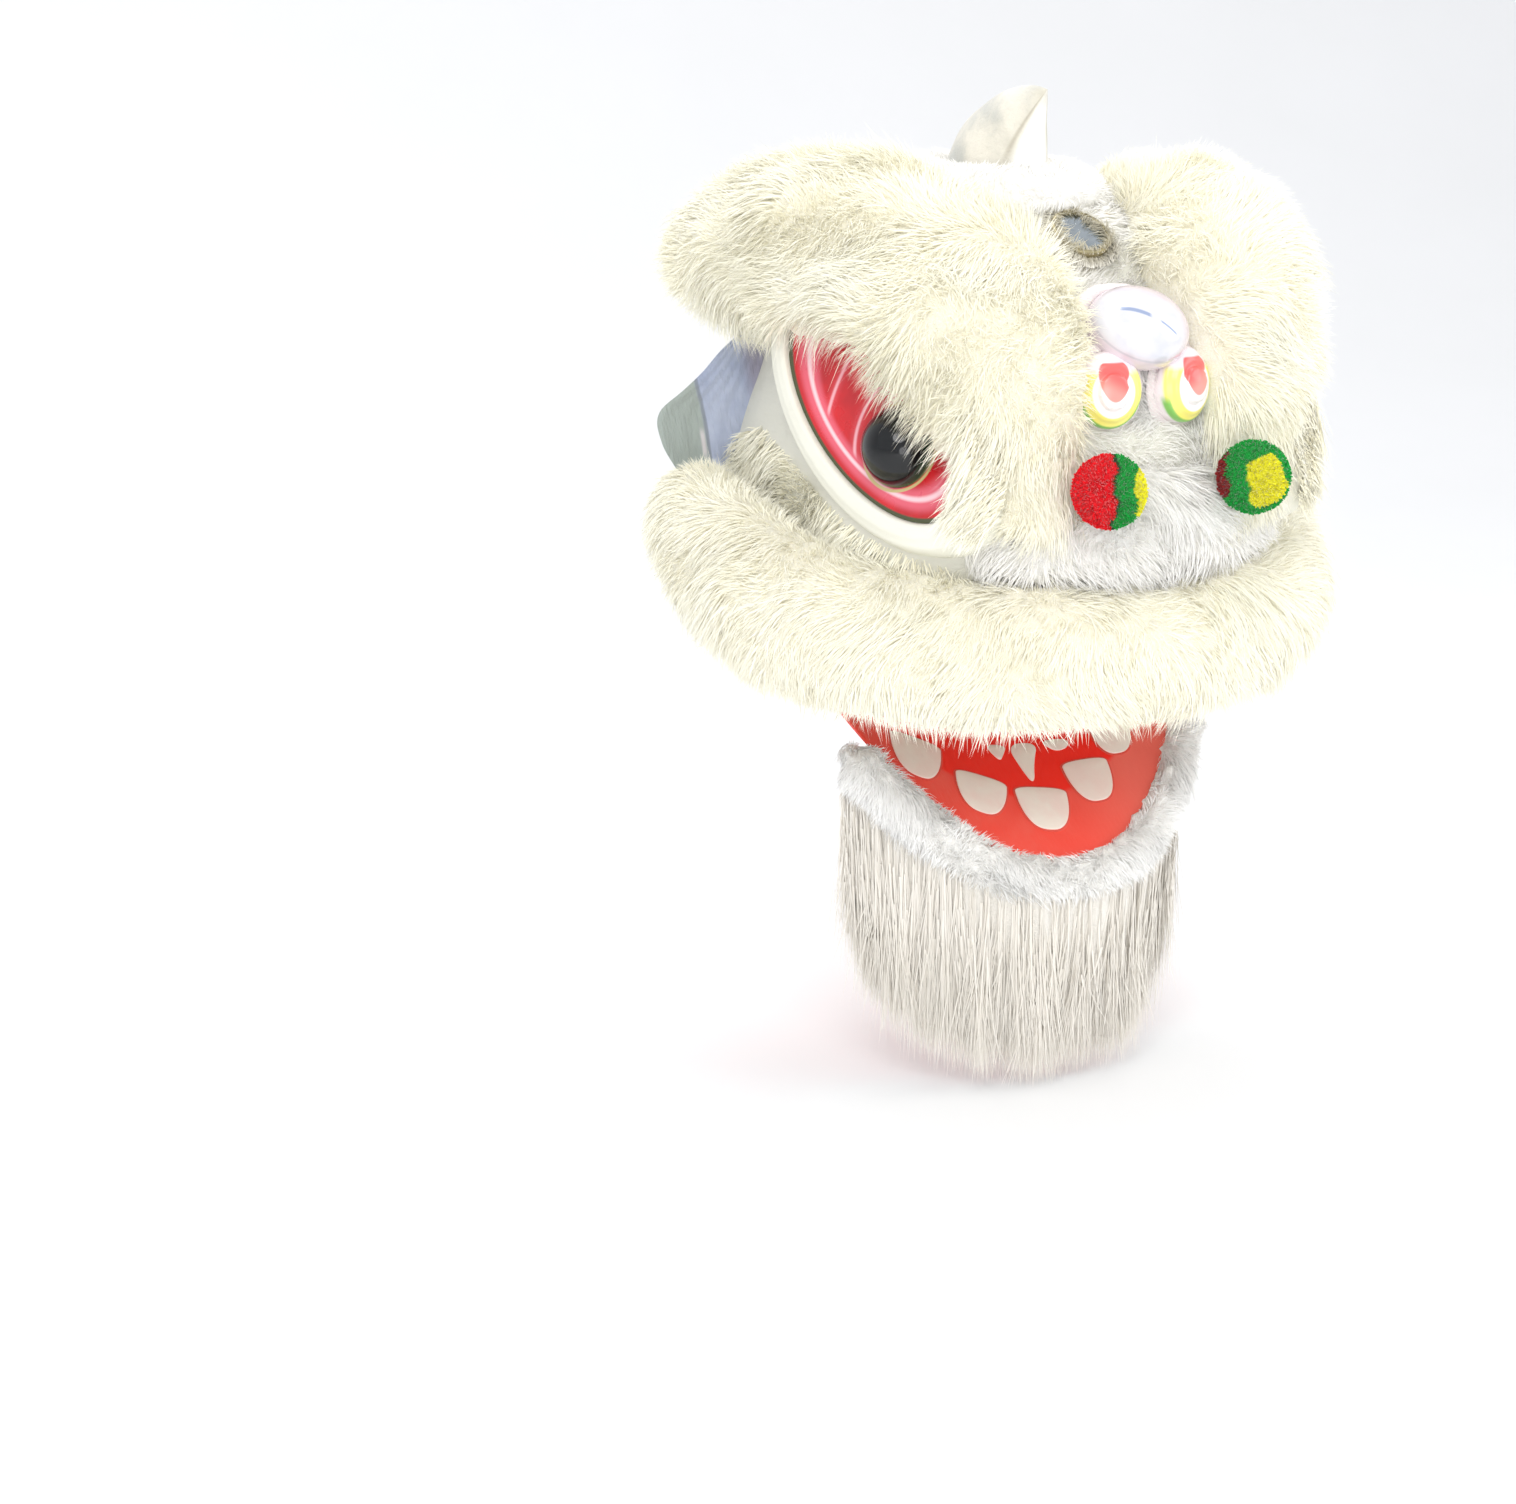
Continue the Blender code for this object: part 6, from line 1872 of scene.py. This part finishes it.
def tooth_outline(x, along, half_width, length, turn, grow):
    """A flat top with rounded corners and a rounded end towards the jaw's edge."""
    t = np.linspace(0, 2 * math.pi, 73)[:-1]
    u = np.sign(np.cos(t)) * np.abs(np.cos(t)) ** 0.75 * (half_width + grow)
    up = np.abs(np.sin(t))
    v = np.where(np.sin(t) > 0, up**0.8 * (0.007 + grow), -up * (length - 0.003 + grow))
    c, s = math.cos(math.radians(turn)), math.sin(math.radians(turn))
    return x + u * c + v * s, along - u * s + v * c


def teeth():
    shape = Shape()
    for tooth in TEETH:
        for grow, low, high, slot in ((0.0022, -0.0004, 0.0007, 1), (0.0, 0.0, 0.0019, 0)):
            x, along = tooth_outline(*tooth, grow)
            mx, ma = x.mean(), along.mean()
            rings = [jaw_point(x, along, low)]
            for share, height in ((1.0, 0.6), (0.985, 0.9), (0.95, 1.0), (0.5, 1.25), (0.1, 1.3)):
                rings.append(jaw_point(mx + (x - mx) * share, ma + (along - ma) * share, high * height))
            shape.loft(rings, slot=slot)
    for fleck in FLECKS:
        loop = np.array(fleck)
        for _ in range(3):
            after = np.roll(loop, -1, axis=0)
            loop = np.stack([loop * 0.75 + after * 0.25, loop * 0.25 + after * 0.75], axis=1).reshape(-1, 2)
        middle = loop.mean(axis=0)
        rings = [
            jaw_point(*(middle + (loop - middle) * share).T, height)
            for share, height in ((1.0, -0.0004), (1.0, 0.0006), (0.94, 0.0011), (0.4, 0.0013))
        ]
        shape.loft(rings)
    placed(shape.make("teeth", TOOTH, TOOTH_LINE), "jaw_board", "jaw", 40)


for word, side in (("right", -1), ("left", 1)):
    eye_socket(word, side)
    eye_panel(word, side)
    pupil(word, side)
    nostril(word, side)
    pompom(word, side)
    spring(word, side)
    ear(word, side)
    place = from_nose(side * NOSTRIL_PLACE[0], NOSTRIL_PLACE[1] - 0.004, NOSTRIL_PLACE[2])
    name = f"nostril_{word}"
    ruffle(f"{name}_ruffle", place, side * NOSTRIL_TURN, 0.0, NOSTRIL_HALF[::2], name, 91 + side)
nose_bulb()
behind_bulb, bulb_size = NOSE + (-0.010, 0.012, 0.004), (BULB_HALF[0] * 0.92, BULB_HALF[2] * 0.98)
ruffle("nose_bulb_ruffle", behind_bulb, 0.0, 0.5, bulb_size, "nose_bulb", 97)
mirror()
horn()
jaw_board()
teeth()

for name, look in (("carry_bar", BAR_WOOD), ("jaw_pin_right", STEEL), ("jaw_pin_left", STEEL)):
    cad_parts[name].data.materials.clear()
    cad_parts[name].data.materials.append(look)


# Stage, light and camera


def stage():
    """A pale paper sweep that rises behind the head."""
    p = Paint("floor_paper", specular_ior_level=0.2)
    look = p.finish(p.mix(p.noise(3.0, 2.0), (0.90, 0.90, 0.895), (0.93, 0.93, 0.93)), 0.8)
    front, start, radius, top, half = -40.0, 1.6, 3.0, 9.0, 40.0
    bend = [(start + radius * math.sin(t), radius - radius * math.cos(t)) for t in np.linspace(0.04, 1.57, 30)]
    sweep = [(front, 0.0), (start, 0.0), *bend, (start + radius, top)]
    low = CAD_BOX[0][2] - 0.020
    shape = Shape()
    shape.grid(np.array([[(x, y, low + z) for x in (-half, half)] for y, z in sweep]))
    floor = shape.make("floor", look)


def light(name, place, aim, size, power):
    lamp = bpy.data.lights.new(name, "AREA")
    lamp.shape = "DISK"
    lamp.size = size
    lamp.energy = power
    made = bpy.data.objects.new(name, lamp)
    made.location = place
    made.rotation_mode = "QUATERNION"
    made.rotation_quaternion = (Vector(aim) - Vector(place)).to_track_quat("-Z", "Y")
    bpy.context.scene.collection.objects.link(made)


stage()
light("key", (-2.0, -2.8, 2.4), (0, 0, 0), 2.2, 64)
light("fill", (2.6, -1.8, 1.4), (0, 0, 0), 2.5, 32)
light("low", (-1.3, -3.3, -0.15), (0, -0.1, -0.25), 1.6, 20)
light("top", (0.2, 0.6, 2.8), (0, 0, 0), 2.0, 32)

world = bpy.data.worlds.new("studio")
world.use_nodes = True
sky = world.node_tree.nodes["Background"].inputs
sky["Color"].default_value, sky["Strength"].default_value = (0.95, 0.965, 1.0, 1.0), 0.86
bpy.context.scene.world = world
bpy.context.scene.view_settings.view_transform = "Standard"

lens = bpy.data.cameras.new("camera")
lens.sensor_fit = "HORIZONTAL"
lens.sensor_width = 36
lens.lens = CAMERA_LENS
camera = bpy.data.objects.new("camera", lens)
camera.location = CAMERA_PLACE
camera.rotation_mode = "QUATERNION"
aim = Vector((
    math.sin(CAMERA_YAW) * math.cos(CAMERA_PITCH), math.cos(CAMERA_YAW) * math.cos(CAMERA_PITCH), math.sin(CAMERA_PITCH)
))
camera.rotation_quaternion = aim.to_track_quat("-Z", "Y")
bpy.context.scene.collection.objects.link(camera)
bpy.context.scene.camera = camera
